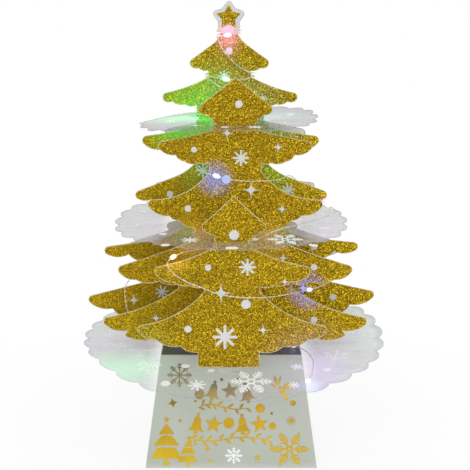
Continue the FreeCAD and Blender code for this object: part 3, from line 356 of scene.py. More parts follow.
def pearl_film(name, full_from, thin, tone):
    """Clear film with a pearly sheen, for a disc: pale tints that drift from green to lilac, and the painted pools of
    light on it. tone scales its tints disc by disc to suit the light each disc gets: painted light and shade.

    The sheen lies in fine streaks from side to side. It hides only a share, thin, of what is behind it near the
    middle line, and more where that line is farther off than full_from millimetres."""
    material, tree, skin, place = finish_named(name, Roughness=0.28, Coat_Weight=0.3, Coat_Roughness=0.12)
    tint = ramp(tree, noise(tree, place, 14.0, 2.0), [(0.3, srgb(164, 178, 168)), (0.45, srgb(172, 176, 176)),
                                                      (0.58, srgb(176, 170, 186)), (0.72, srgb(184, 176, 176))])
    roughen(tree, skin, noise(tree, place, 300.0, 3.0), 0.15, 0.0003)
    take_painted_glow(tree, skin, place, vector_of(tree, "SCALE", tint, tone), 0.8, 1.6)
    aside = math_of(tree, "ABSOLUTE", part_of(tree, place, "X"), 0.0)
    sheen = ranged(tree, aside, (full_from - 9.0) * MM, (full_from + 5.0) * MM, thin, 0.42, True)
    streak = noise(tree, vector_of(tree, "MULTIPLY", place, (0.12, 1.0, 1.0)), 260.0, 3.0)
    cover = math_of(tree, "MULTIPLY", sheen, ranged(tree, streak, 0.3, 0.7, 0.86, 1.14))
    tree.links.new(cover, skin.inputs["Alpha"])
    return material


def smoked_film():
    """Frosted grey film: a fine grain, a slow drift of tone and a paler foot. Its upper part is painted paler, as
    painted light that lifts the shade the bottom disc casts there.
    """
    material, tree, skin, place = finish_named("smoked_film", Roughness=0.35, Coat_Weight=0.4, Coat_Roughness=0.2,
                                               Alpha=0.9)
    tint = ramp(tree, noise(tree, place, 18.0, 3.0), [(0.3, srgb(190, 198, 184)), (0.7, srgb(202, 207, 196))])
    height = part_of(tree, place, "Z")
    foot = ranged(tree, height, 0.0015, 0.004, 0.7, 0.0)
    paler = mixed(tree, foot, tint, srgb(212, 215, 206))
    # Painted light: the film is darker below 40 mm and paler above 70 mm, lifting the shade under the bottom disc.
    body = vector_of(tree, "SCALE", paler, ranged(tree, height, 0.04, 0.07, 0.82, 0.95, True))
    tree.links.new(body, skin.inputs["Base Color"])
    roughen(tree, skin, noise(tree, place, 900.0, 2.0), 0.12, 0.0002)
    return material


def two_toned(name, dark, pale, scale, detail, bump=None, glow=None, **plain):
    """A finish of two tones mixed by noise. bump is how much the noise also lifts the surface and how far, and glow
    is the share of its colour that it keeps under the painted pools of coloured light and how strongly it takes them."""
    material, tree, skin, place = finish_named(name, **plain)
    grain = noise(tree, place, scale, detail)
    tone = ramp(tree, grain, [(0.3, srgb(*dark)), (0.7, srgb(*pale))])
    if bump:
        roughen(tree, skin, grain, *bump)
    if glow:
        take_painted_glow(tree, skin, place, tone, *glow)
    else:
        tree.links.new(tone, skin.inputs["Base Color"])
    return material


def grained(name, dark, pale, scale, roughness, strength, metallic=0.0):
    """A plain moulded, plated or printed finish with a fine grain."""
    return two_toned(name, dark, pale, scale, 4.0, (strength, 0.0003), Roughness=roughness, Metallic=metallic)


give("base_box", smoked_film())
for finish, parts in (
        # The deck at the base's mouth is near black, as dark as the strip that shows across the mouth.
        (grained("black_card", (40, 40, 37), (58, 57, 53), 500.0, 0.7, 0.3), ("base_deck",)),
        (grained("white_moulding", (214, 213, 208), (230, 229, 225), 700.0, 0.45, 0.25),
         ("battery_box", "battery_lid")),
        (grained("black_moulding", (20, 20, 20), (34, 34, 34), 800.0, 0.5, 0.3), ("switch_body", "switch_knob")),
        (grained("plated_steel", (180, 180, 180), (205, 204, 200), 260.0, 0.28, 0.1, 1.0),
         ("contact_plates", "contact_springs"))):
    for part in parts:
        give(part, finish)
for part in ("cell_1", "cell_2", "cell_3"):
    give(part, grained(part + "_jacket", (40, 92, 60), (48, 104, 70), 300.0, 0.35, 0.05))
# Each disc's tone: raised on the bottom and middle discs and lowered on the top one, as painted light and shade.
FILMS = {disc: pearl_film("pearl_" + disc, *values) for disc, values in
         (("disc_bottom", (52.0, 0.12, 1.3)), ("disc_middle", (46.0, 0.18, 1.15)), ("disc_top", (22.0, 0.2, 0.46)))}
for part, film in FILMS.items():
    give(part, film)

# ------------------------------------------------------------------ making a surface

def together(parts):
    """Several surfaces as one. Each is its points and its faces, or a list of arrays of faces with as many corners
    as each other, and its faces count on from the points before it."""
    points, faces, start = [], [], 0
    for spots, blocks in parts:
        points.append(np.asarray(spots, float))
        for block in blocks if isinstance(blocks, list) else [blocks]:
            faces += (block + start).tolist()
        start += len(points[-1])
    return np.concatenate(points), faces


def mounted(name, parts, finishes, thick=None, smooth=False, rim=None):
    """A piece at the origin, made of (points in millimetres, faces) and riding on the tree.

    thick gives the sheet that many millimetres outwards from its faces, and rim the finish of its cut edge."""
    points, faces = together(parts)
    mesh = bpy.data.meshes.new(name)
    mesh.from_pydata((points * MM).tolist(), [], faces)
    if smooth:
        mesh.polygons.foreach_set("use_smooth", np.ones(len(faces), bool))
    for finish in finishes:
        mesh.materials.append(finish)
    mesh.update()
    piece = bpy.data.objects.new(name, mesh)
    scene.collection.objects.link(piece)
    if thick:
        wall = piece.modifiers.new("wall", "SOLIDIFY")
        wall.thickness = thick * MM
        wall.offset = 1.0
        if rim is not None:
            wall.material_offset_rim = rim
    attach(piece, "tree")
    return piece


def quads(rows, columns, closed=False):
    """The faces of a grid of points kept row after row; closed joins the last column to the first."""
    row = np.arange(rows - 1)[:, None] * columns
    here = np.arange(columns if closed else columns - 1)[None, :]
    there = (here + 1) % columns
    return np.stack((row + here, row + there, row + columns + there, row + columns + here), axis=-1).reshape(-1, 4)


def cap(middle, first, count):
    """Triangles from a middle point to a closed ring of points kept one after another."""
    here = np.arange(count)
    return np.stack((np.full(count, middle), first + here, first + (here + 1) % count), axis=1)


def unit(vectors):
    """Vectors brought to length 1."""
    return vectors / np.linalg.norm(vectors, axis=-1, keepdims=True)


def turned(points, degrees):
    """Flat points turned about their origin."""
    a = math.radians(degrees)
    return points @ np.array([[math.cos(a), math.sin(a)], [-math.sin(a), math.cos(a)]])


def put(form, at, size, degrees=0.0):
    """A flat form made larger, turned and moved to its place."""
    points, faces = form
    return turned(points, degrees) * size + np.array(at), faces


# ------------------------------------------------------------------ flat ornaments, with a reach of 1

def outline(angle, reach):
    """Flat points round the origin, each at its angle and reach."""
    return np.stack((reach * np.cos(angle), reach * np.sin(angle)), axis=1)


def round_form(angle, reach):
    """A flat form round its middle: an outline, and triangles that run to it from the middle."""
    return np.vstack(([[0.0, 0.0]], outline(angle, reach))), cap(0, 1, len(angle))


def fan(reach_at, count):
    """A round form with equal steps of angle, whose reach is a function of the angle."""
    angle = np.linspace(0.0, 2 * math.pi, count, endpoint=False)
    return round_form(angle, reach_at(angle))


def band(path, width):
    """A strip along a path: every point of the path is set half the width to both sides, square to the path there."""
    path = np.asarray(path, float)
    ahead = unit(np.gradient(path, axis=0))
    count = len(path)
    aside = np.stack((-ahead[:, 1], ahead[:, 0]), axis=1) * (np.broadcast_to(width, count) / 2)[:, None]
    first = np.arange(count - 1)
    faces = np.stack((first, first + count, first + count + 1, first + 1), axis=1)
    return np.vstack((path + aside, path - aside)), faces


def bar(start, end, width):
    """A straight bar with rounded ends: its half width follows an oval of the sixth power."""
    share = (1 - np.cos(np.linspace(0.0, math.pi, 15))) / 2
    blunt = (1 - np.abs(2 * share - 1) ** 6) ** (1 / 6)
    return band(np.outer(1 - share, start) + np.outer(share, end), width * np.maximum(blunt, 0.03))


def flowing(points, width, thin, count):
    """A brush stroke: a smooth line through a few points, widest in its middle and down to a share, thin, of that
    width at its ends.

    The line is a Catmull-Rom curve: between two points it is the cubic whose slopes there are half the
    difference of the points before and after."""
    knots = np.asarray(points, float)
    knots = np.vstack((2 * knots[0] - knots[1], knots, 2 * knots[-1] - knots[-2]))
    runs = len(knots) - 3
    at = np.linspace(0.0, runs, count)
    run = np.minimum(at.astype(int), runs - 1)
    t = (at - run)[:, None]
    a, b, c, d = (knots[run + k] for k in range(4))
    path = 0.5 * (2 * b + (c - a) * t + (2 * a - 5 * b + 4 * c - d) * t ** 2 + (3 * b - a - 3 * c + d) * t ** 3)
    return band(path, width * (thin + (1 - thin) * np.sin(np.linspace(0.0, math.pi, count)) ** 0.8))


def sparkle(pinch):
    """A twinkle of four arms with hollow sides: the reach where the pinch-th powers of both sides add up to 1."""
    return [fan(lambda angle: (np.abs(np.cos(angle)) ** pinch + np.abs(np.sin(angle)) ** pinch) ** (-1 / pinch), 64)]


def pointed_star(points, waist):
    """A star with straight sides: full reach at its tips and the waist's reach between them."""
    reach = np.tile((1.0, waist), points)
    return [put(fan(lambda angle: reach, 2 * points), (0, 0), 1.0, 90)]


def rayed(rays, width, core):
    """Straight rays with blunt ends from a round core, as one outline. Near a ray the reach is half the width over
    the sine of the angle from it, but no more than the ray's length and no less than the core."""
    half = width / 2
    # The outline's angles from a ray's middle line: across its blunt end, and then crowded where it leaves the core.
    near = np.array([-1.0, -0.8, -0.45, 0.0, 0.45, 0.8, 1.0]) * math.atan2(half, 1.0)
    far = np.append(np.linspace(1.25, 1.0, 5), (0.8, 0.6, 0.4, 0.22)) * math.asin(min(half / core, 1.0))
    one = np.unique(np.concatenate((near, far, -far)))
    one = one[np.abs(one) < math.pi / rays]
    local = np.tile(one, rays)
    angle = local + np.repeat(np.arange(rays) * 2 * math.pi / rays, len(one)) + math.pi / 2
    slant = np.abs(np.sin(local))
    tip = 1.0 - 0.10 * (slant / math.sin(near[-1])).clip(0, 1) ** 2
    reach = np.maximum(core, np.minimum(tip, half / np.maximum(slant, 1e-6)))
    return [round_form(angle, reach)]


def flake(arms, width, barbs, lean, core, ends, start):
    """A snow crystal: arms with pairs of barbs, each barb a place along the arm and a length. lean is the barbs'
    angle, core the reach of a small ring, ends the size of a spot on each arm's tip, and start the first arm's
    angle."""
    form = [band(outline(np.linspace(0.0, 2 * math.pi, 25), core), width)] if core else []
    for arm in range(arms):
        parts = [bar((core, 0.0), (1.0, 0.0), width)]
        for place, length in barbs:
            for side in (-1, 1):
                a = math.radians(lean) * side
                parts.append(bar((place, 0.0), (place + length * math.cos(a), length * math.sin(a)), width * 0.9))
        if ends:
            parts.append(put(fan(np.ones_like, 12), (1.0, 0.0), ends))
        form += [put(part, (0, 0), 1.0, start + 360 * arm / arms) for part in parts]
    return form


# How far a print lies off its surface, and how much more each of its parts does, in millimetres.
LIFT = 0.02
HAIR = 0.006
# How thick each kind of print is, in millimetres.
CARD_PRINT, FILM_PRINT, FOIL_PRINT, STAR_PRINT = 0.12, 0.10, 0.06, 0.08


def laid(forms, surface):
    """Flat ornaments, each (form, place, size) and its turn if it has one, set on a surface: a function from flat
    points and a lift to points in space. Each part of a form is lifted a hair more than the one before, where they
    cross."""
    parts = []
    for form, at, size, *turn in forms:
        for number, part in enumerate(form):
            points, faces = put(part, at, size, *turn)
            parts.append((surface(points, LIFT + HAIR * (number % 9)), faces))
    return parts


# ------------------------------------------------------------------ cards: pale borders and white ornaments

# How far back the front and the back face of each card lie, in millimetres.
CARD_FACES = {card: tuple(corner.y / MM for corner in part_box(card)) for card in (
    "card_centre", "card_front_inner", "card_front_outer", "card_back_inner", "card_back_outer")}
# How far the border's lip reaches in from a card's edge, and how far it stands off the card, in millimetres.
MARGIN = 0.42
PROUD = 0.05


def card_border(card):
    """The bare film margin round a card: a thin channel over its cut edge.

    The card's front face is taken from its mesh, and an edge that only one triangle uses is on the outline.
    At each outline point the channel's lip lies inwards along the sum of the two edges' inward normals, divided
    by one plus their cosine, which keeps the lip the same width round a bend. That divisor stays above 0.35, so
    that no sharp corner throws the lip far out."""
    mesh = nodes[card].data
    mesh.calc_loop_triangles()
    corner = np.empty(len(mesh.loop_triangles) * 3, np.int32)
    mesh.loop_triangles.foreach_get("vertices", corner)
    place = np.empty(len(mesh.vertices) * 3)
    mesh.vertices.foreach_get("co", place)
    triangles = place.reshape(-1, 3)[corner].reshape(-1, 3, 3) / MM
    front, back = CARD_FACES[card]
    flat = triangles[np.all(np.abs(triangles[:, :, 1] - front) < 0.01, axis=1)][:, :, [0, 2]]
    spots, index = np.unique(np.round(flat.reshape(-1, 2), 3), axis=0, return_inverse=True)
    index = index.reshape(-1, 3)
    flat = spots[index]
    a, b, c = flat[:, 0], flat[:, 1], flat[:, 2]
    area = (b[:, 0] - a[:, 0]) * (c[:, 1] - a[:, 1]) - (b[:, 1] - a[:, 1]) * (c[:, 0] - a[:, 0])
    index = np.where((area > 0)[:, None], index, index[:, ::-1])[np.abs(area) > 1e-9]
    edges = np.concatenate((index[:, [0, 1]], index[:, [1, 2]], index[:, [2, 0]]))
    many = len(spots)
    key, reverse = edges[:, 0] * many + edges[:, 1], edges[:, 1] * many + edges[:, 0]
    edges = edges[~np.isin(key, reverse)]
    run = unit(spots[edges[:, 1]] - spots[edges[:, 0]])
    inward = np.stack((-run[:, 1], run[:, 0]), axis=1)
    leaving = np.zeros((many, 2))
    arriving = np.zeros((many, 2))
    leaving[edges[:, 0]] = inward
    arriving[edges[:, 1]] = inward
    bend = np.sum(leaving * arriving, axis=1, keepdims=True)
    lean = (leaving + arriving) / np.maximum(1.0 + bend, 0.35)
    used = np.unique(edges)
    fresh = np.zeros(many, int)
    fresh[used] = np.arange(len(used))
    edges = fresh[edges]
    outer = spots[used] - lean[used] * PROUD
    inner = spots[used] + lean[used] * MARGIN
    rows = [(inner, front - PROUD), (outer, front - PROUD), (outer, back + PROUD), (inner, back + PROUD)]
    points = np.concatenate([np.stack((flat[:, 0], np.full(len(flat), y), flat[:, 1]), axis=1) for flat, y in rows])
    count = len(used)
    faces = np.concatenate([np.stack((edges[:, 0] + k * count, edges[:, 0] + (k + 1) * count,
                                      edges[:, 1] + (k + 1) * count, edges[:, 1] + k * count), axis=1)
                            for k in range(3)])
    return points, faces


# The unprinted border of the film: pale gold and half clear.
margin = two_toned("bare_margin", (206, 186, 120), (240, 226, 184), 120.0, 2.0, None, (0.6, 0.8), Roughness=0.35,
                   Alpha=0.6)
for card in CARD_FACES:
    mounted("border_" + card.removeprefix("card_"), [card_border(card)], [margin])


def flocking(name, dark, pale, *glow):
    """White flocked print: short fibres lift it a little, and the painted pools of light near it colour it. A third
    value of glow is plain white light painted on it all over, so that it stays bright in shade: painted light."""
    return two_toned(name, dark, pale, 1500.0, 3.0, (0.4, 0.0002), glow, Roughness=0.8, Sheen_Weight=0.3)


white_print = flocking("white_flocking", (192, 192, 190), (216, 216, 212), 0.35, 1.5)
# The print on film glows with plain white light of 0.16 all over: painted light.
film_print = flocking("white_print_on_film", (214, 216, 216), (238, 240, 240), 0.7, 1.0, 0.16)
BURST, SMALL_BURST = rayed(8, 0.22, 0.22), rayed(8, 0.20, 0.22)
SNOW = rayed(8, 0.24, 0.36)
SMALL_SNOW = rayed(8, 0.20, 0.30)
TWINKLE, FULL_TWINKLE = sparkle(0.43), sparkle(0.6)
SPOT = [fan(np.ones_like, 24)]

# Each card's ornaments: form, place across and up in millimetres, reach, and its turn in degrees if it has one.
# The front cards' ornaments are also on the back cards, and the centre card's are on both its faces.
CARD_PRINTS = {
    "card_centre": [
        (SPOT, (-1.4, 269.0), 2.3), (SMALL_SNOW, (-4.6, 253.2), 4.0), (TWINKLE, (20.5, 238.5), 4.2),
        (SMALL_SNOW, (-18.6, 191.5), 5.2), (SPOT, (-40.7, 175.5), 2.2), (SMALL_SNOW, (37.8, 178.2), 5.0, 10),
        (SPOT, (55.9, 139.0), 2.1),
        (TWINKLE, (-66.6, 101.3), 5.0), (SMALL_SNOW, (-47.3, 107.1), 5.0, 12), (SPOT, (69.7, 103.5), 2.3),
        (TWINKLE, (52.0, 110.0), 4.6)],
    "card_front_inner": [
        (SPOT, (4.8, 238.4), 2.3), (TWINKLE, (-2.6, 220.4), 4.6), (SPOT, (-23.3, 210.0), 1.9),
        (SNOW, (6.1, 204.7), 5.3), (TWINKLE, (29.3, 211.6), 4.0), (SPOT, (-3.0, 191.0), 2.8),
        (TWINKLE, (12.5, 184.2), 6.4), (SPOT, (-27.5, 172.2), 2.2), (TWINKLE, (32.3, 171.9), 4.0),
        (TWINKLE, (33.4, 139.5), 4.4), (SPOT, (53.5, 133.4), 2.1), (TWINKLE, (46.7, 119.2), 4.4),
        (SPOT, (54.3, 97.5), 2.2), (TWINKLE, (-49.3, 98.6), 4.2), (TWINKLE, (39.2, 98.6), 4.2)],
    "card_front_outer": [
        (SPOT, (1.7, 162.2), 3.1), (SPOT, (-14.2, 141.6), 2.0), (SNOW, (10.0, 141.9), 5.6),
        (TWINKLE, (-6.3, 125.2), 7.2), (SPOT, (9.2, 118.0), 3.0), (SPOT, (-27.0, 101.6), 2.3),
        (SNOW, (-3.9, 96.3), 8.0), (TWINKLE, (19.9, 100.9), 4.4), (TWINKLE, (33.0, 132.5), 3.4)],
}


def on_card(y, side):
    """Sets flat points on a card's face; on a back face they are mirrored, so that they face outwards."""
    return lambda flat, lift: np.stack((side * flat[:, 0], np.full(len(flat), y - side * lift), flat[:, 1]), axis=1)


for card, prints in CARD_PRINTS.items():
    rear = card.replace("front", "back")
    sides = {card: laid(prints, on_card(CARD_FACES[card][0], 1.0))}
    sides[rear] = sides.get(rear, []) + laid(prints, on_card(CARD_FACES[rear][1], -1.0))
    for name, parts in sides.items():
        mounted("snow_on_" + name.removeprefix("card_"), parts, [white_print], CARD_PRINT)

# ------------------------------------------------------------------ the star on the crown

star_gold = card_finish("gold_star", True, True)
parts = []
for side, y in zip((1.0, -1.0), CARD_FACES["card_centre"]):
    parts += laid([(pointed_star(5, 0.54), (side * -1.6, 289.9), 8.0)], on_card(y, side))
mounted("gold_star", parts, [star_gold], STAR_PRINT)

# ------------------------------------------------------------------ film discs

# Each disc: its level, reach, sideways shift, number of scallops, the half sizes of its flat middle, and how far
# its control net stands above the level, row by row from front to back.
DISCS = {
    "disc_bottom": (75.9, 102.7, 1.7, 30, 50.0, 60.5, (
        (0.0, -4.0, -3.0, -6.0, -1.0), (9.0, 0.0, 0.0, 0.0, -2.0), (-0.5, 0.0, 0.0, 0.0, 2.0),
        (-1.0, 0.0, 0.0, 0.0, 15.0), (0.0, 0.0, -1.0, 6.0, 4.0))),
    "disc_middle": (157.9, 77.8, 0.0, 26, 34.0, 60.5, (
        (0.0, 0.0, 0.0, 0.0, 0.0), (-5.0, 0.0, 0.0, 0.0, -8.0), (-3.0, 0.0, 0.0, 0.0, 2.0),
        (8.0, 0.0, 0.0, 0.0, 3.0), (0.0, 1.5, 0.0, 1.5, 0.0))),
    "disc_top": (225.9, 58.4, -1.7, 22, 18.1, 31.6, (
        (-2.5, -4.0, 1.0, -3.0, -1.5), (-10.0, 0.0, 0.0, 0.0, -2.0), (0.0, 0.0, 0.0, 0.0, 1.0),
        (-12.0, 0.0, 0.0, 0.0, 8.0), (-4.0, -16.0, -2.0, 9.0, 3.0))),
}
# How far the control net reaches past the rim, as a share of the reach, and the depth of a scallop and thickness of
# the film in millimetres.
NET_REACH = 1.03
SCALLOP_DEEP = 3.6
FILM_THICK = 0.4


def net_weights(at, flat, edge):
    """How much each of the five control points counts at each place: a quadratic B-spline's weights, by the
    Cox-de Boor rule, on knots at the border and at both ends of the flat middle."""
    knots = np.array([-edge] * 3 + [-flat, flat] + [edge] * 3)
    at = np.clip(at, -edge, edge * (1 - 1e-9))
    weights = [((knots[k] <= at) & (at < knots[k + 1])).astype(float) for k in range(7)]
    for degree in (1, 2):
        raised = []
        for k in range(7 - degree):
            rise, fall = knots[k + degree] - knots[k], knots[k + degree + 1] - knots[k + 1]
            left = (at - knots[k]) / rise * weights[k] if rise else 0.0
            right = (knots[k + degree + 1] - at) / fall * weights[k + 1] if fall else 0.0
            raised.append(left + right)
        weights = raised
    return np.stack(weights)


def film_height(disc, x, y):
    """The height of a disc's film over flat points: its control net's heights, weighted across and along."""
    level, reach, shift, _, wide, deep, net = DISCS[disc]
    across = net_weights(x - shift, wide, NET_REACH * reach)
    along = net_weights(y, deep, NET_REACH * reach)
    return level + np.einsum("in,jn,ji->n", across, along, np.array(net))


def film_disc(disc):
    """A scalloped disc. The rim is equal outward arcs: at an angle from a scallop's middle, the reach is where a
    ray from the centre meets the circle through the two roots and the tip. Rings shrink evenly to the centre, and
    the scallops fade with the sixth power of a ring's share of the way out."""
    _, reach, shift, scallops, *_ = DISCS[disc]
    step, steps, rings = 2 * math.pi / scallops, 14, 26
    local = (np.arange(steps) / steps - 0.5) * step
    root = reach - SCALLOP_DEEP
    half, rise = root * math.sin(step / 2), reach - root * math.cos(step / 2)
    radius = (half ** 2 + rise ** 2) / (2 * rise)
    centre = reach - radius
    arc = centre * np.cos(local) + np.sqrt(radius ** 2 - (centre * np.sin(local)) ** 2)
    angle = (np.arange(scallops)[:, None] * step + local[None, :]).ravel()
    rim = np.tile(arc, scallops)
    share = (np.arange(1, rings + 1) / rings)[:, None]
    even = reach * 0.9
    ring = share * even + (rim[None, :] - even) * share ** 6
    x, y = ring * np.cos(angle) + shift, ring * np.sin(angle)
    x, y = np.append(x.ravel(), shift), np.append(y.ravel(), 0.0)
    z = film_height(disc, x, y) - FILM_THICK / 2
    columns = len(angle)
    return np.stack((x, y, z), axis=1), [quads(rings, columns, True)[:, ::-1], cap(rings * columns, 0, columns)]


# The cut edge of the film is painted a shade darker and half clear: painted shade for the line that its edge shows.
painted_film_rim = two_toned("film_edge_painted_shade", (150, 150, 164), (180, 180, 190), 30.0, 2.0, Roughness=0.4, Alpha=0.5)
for disc in DISCS:
    piece = mounted("film_" + disc, [film_disc(disc)], [FILMS[disc], painted_film_rim], FILM_THICK, True, 1)
    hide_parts(disc)


def on_film(disc):
    """Sets flat points on top of a disc's film."""
    top = FILM_THICK / 2
    return lambda flat, lift: np.column_stack((flat, film_height(disc, flat[:, 0], flat[:, 1]) + top + lift))


CRYSTAL = flake(6, 0.10, ((0.40, 0.30), (0.60, 0.27), (0.80, 0.17)), 52.0, 0.17, 0.0, 0.0)
LIGHT_CRYSTAL = flake(8, 0.11, ((0.66, 0.24),), 42.0, 0.0, 0.0, 0.0)
DISC_PRINTS = {
    "disc_bottom": [
        (LIGHT_CRYSTAL, (-52.0, -54.5), (7.9, 10.5)), (SPOT, (-39.9, -81.8), (2.9, 3.4)),
        (SPOT, (-28.9, -56.2), (2.6, 3.0)), (BURST, (-20.7, -83.8), (5.6, 7.2), 8),
        (rayed(8, 0.22, 0.25), (-12.6, -63.5), (2.6, 3.2)), (CRYSTAL, (12.2, -79.0), (13.0, 15.6)),
        (SMALL_BURST, (41.8, -57.5), (4.4, 5.6), 10), (SMALL_BURST, (38.0, -83.2), (3.6, 4.4)),
        (CRYSTAL, (68.0, -38.0), 9.0, 20), (SPOT, (60.0, -62.0), 2.8),
        (BURST, (-74.0, -22.0), 6.0), (BURST, (84.0, 4.0), 5.0)],
    "disc_middle": [
        (CRYSTAL, (33.1, -52.5), (11.2, 13.0)), (SMALL_BURST, (-25.3, -54.2), (5.8, 6.8)),
        (SPOT, (-42.9, -39.0), 2.6), (SPOT, (-39.6, -66.0), 2.8),
        (SPOT, (14.0, -52.0), 3.0), (SPOT, (49.6, -64.0), 2.8),
        (SPOT, (0.5, -73.0), (4.0, 3.0)), (SMALL_BURST, (60.0, -22.0), 5.0),
        (TWINKLE, (-62.0, -14.0), 6.0)],
    "disc_top": [
        (SPOT, (-3.8, -43.8), 2.4), (SMALL_BURST, (14.4, -43.0), 4.6),
        (SMALL_BURST, (-39.0, -13.5), 4.6), (SPOT, (38.9, 8.8), 2.4),
        (TWINKLE, (-22.0, -36.0), 4.6), (TWINKLE, (34.0, -24.0), 4.6)],
}
# The same ornaments again at the back of each disc, turned half a turn round the trunk.
for disc, prints in DISC_PRINTS.items():
    parts = laid(prints, on_film(disc))
    parts += laid([(form, (-x, -y), size, 180 + sum(turn)) for form, (x, y), size, *turn in prints], on_film(disc))
    mounted("snow_on_" + disc, parts, [film_print], FILM_PRINT)

# ------------------------------------------------------------------ gold ornaments on the base

# The height of the base's rim, and how far forward the rim and the foot of its front lie, in millimetres.
wall_spots = np.array([v.co for v in nodes["base_box"].data.vertices]) / MM
RIM_HEIGHT = wall_spots[:, 2].max()
RIM_FRONT = wall_spots[wall_spots[:, 2] > RIM_HEIGHT - 0.3, 1].min()
FOOT_FRONT = wall_spots[wall_spots[:, 2] < 0.1, 1].min()


def on_front(flat, lift):
    """Sets flat points on the base's front, which leans back from its foot to its rim in a straight line."""
    share = flat[:, 1] / RIM_HEIGHT
    return np.stack((flat[:, 0], FOOT_FRONT + (RIM_FRONT - FOOT_FRONT) * share - lift, flat[:, 1]), axis=1)


# The middle of the sprig of holly, and the number of points along a garland's stem.
HOLLY = np.array([[33.0, 53.0]])
STEM_POINTS = 40


def gold_foil():
    """Stamped gold foil: mirror-like with a fine ripple. Its colour is painted deep olive high up, as a painted
    reflection of the shade under the bottom disc, and bright yellow low down and round the sprig of holly."""
    material, tree, skin, place = finish_named("gold_foil", Metallic=0.6)
    drift = noise(tree, place, 70.0, 2.0)
    level = math_of(tree, "ADD", part_of(tree, place, "Z"), ranged(tree, drift, 0.3, 0.7, -0.012, 0.012))
    away = vector_of(tree, "DISTANCE", place, on_front(HOLLY, 0.0)[0] * MM)
    level = math_of(tree, "SUBTRACT", level, ranged(tree, away, 0.006, 0.012, 0.035, 0.0))
    # Painted reflection and shade: the colour runs from bright yellow low down to deep olive high up.
    tone = ramp(tree, ranged(tree, level, 0.0, 0.07, 0.0, 1.0),
                [(0.0, srgb(204, 174, 30)), (0.45, srgb(184, 148, 30)), (0.75, srgb(132, 108, 34)),
                 (1.0, srgb(84, 76, 44))])
    tree.links.new(tone, skin.inputs["Base Color"])
    tree.links.new(ranged(tree, drift, 0.0, 1.0, 0.25, 0.5), skin.inputs["Roughness"])
    roughen(tree, skin, noise(tree, place, 600.0, 2.0), 0.3, 0.0002)
    return material


def bough(top, foot, high, waves, sag):
    """One tier of a printed tree: a grid whose half width grows in a straight line from top to foot, with a hem of
    equal round lobes that fade upwards, each lobe the root of one less its squared place."""
    rows, columns = 6, waves * 8 + 1
    up = np.linspace(0.0, 1.0, rows)[:, None]
    across = np.linspace(-1.0, 1.0, columns)[None, :]
    lobe = np.sqrt(np.clip(1 - (2 * ((across + 1) / 2 * waves % 1.0) - 1) ** 2, 0, 1))
    x = across * (foot + (top - foot) * up)
    z = up * high + sag * across ** 2 * (0.3 + 0.7 * up) - 0.12 * high * lobe * (1 - up)
    return np.stack((x.ravel(), z.ravel()), axis=1), quads(rows, columns)


def leaf(size, width):
    """A pointed leaf: a straight brush stroke, thin at both ends."""
    return flowing([(0.0, 0.0), (size * 0.5, size * 0.06), (size, 0.0)], width, 0.04, 17)


def garland(points, leaves, size):
    """A leafy bough: a thin stem through a few points, with a pointed leaf at equal steps along it, turned 48
    degrees from the stem to one side and the other by turns."""
    stem = flowing(points, 0.9, 0.3, STEM_POINTS)
    line = (stem[0][:STEM_POINTS] + stem[0][STEM_POINTS:]) / 2
    parts = [stem]
    for number in range(leaves):
        here = int((STEM_POINTS - 1) * (number + 0.5) / leaves)
        run = line[here + 1] - line[max(here - 1, 0)]
        heading = math.degrees(math.atan2(run[1], run[0])) + (48 if number % 2 else -48)
        parts.append(put(leaf(size, size * 0.34), line[here], 1.0, heading))
    return parts


def bell():
    """A bell: its half width is 0.36 at the shoulder and grows with the fourth power of the way down, and its
    crown is rounded by a circle's rule. A clapper shows below it and a knob above."""
    down = np.linspace(0.0, 1.0, 22)[:, None]
    half = (0.36 + 0.5 * down ** 4) * np.sqrt(1 - (1 - np.minimum(down / 0.3, 1.0)) ** 2)
    across = np.linspace(-1.0, 1.0, 9)[None, :]
    x, z = across * half, 0.8 - 1.5 * down - 0.06 * across ** 2
    return [(np.stack((x.ravel(), z.ravel()), axis=1), quads(22, 9)), put(SPOT[0], (0.0, -0.86), 0.2),
            put(SPOT[0], (0.0, 0.9), 0.16)]


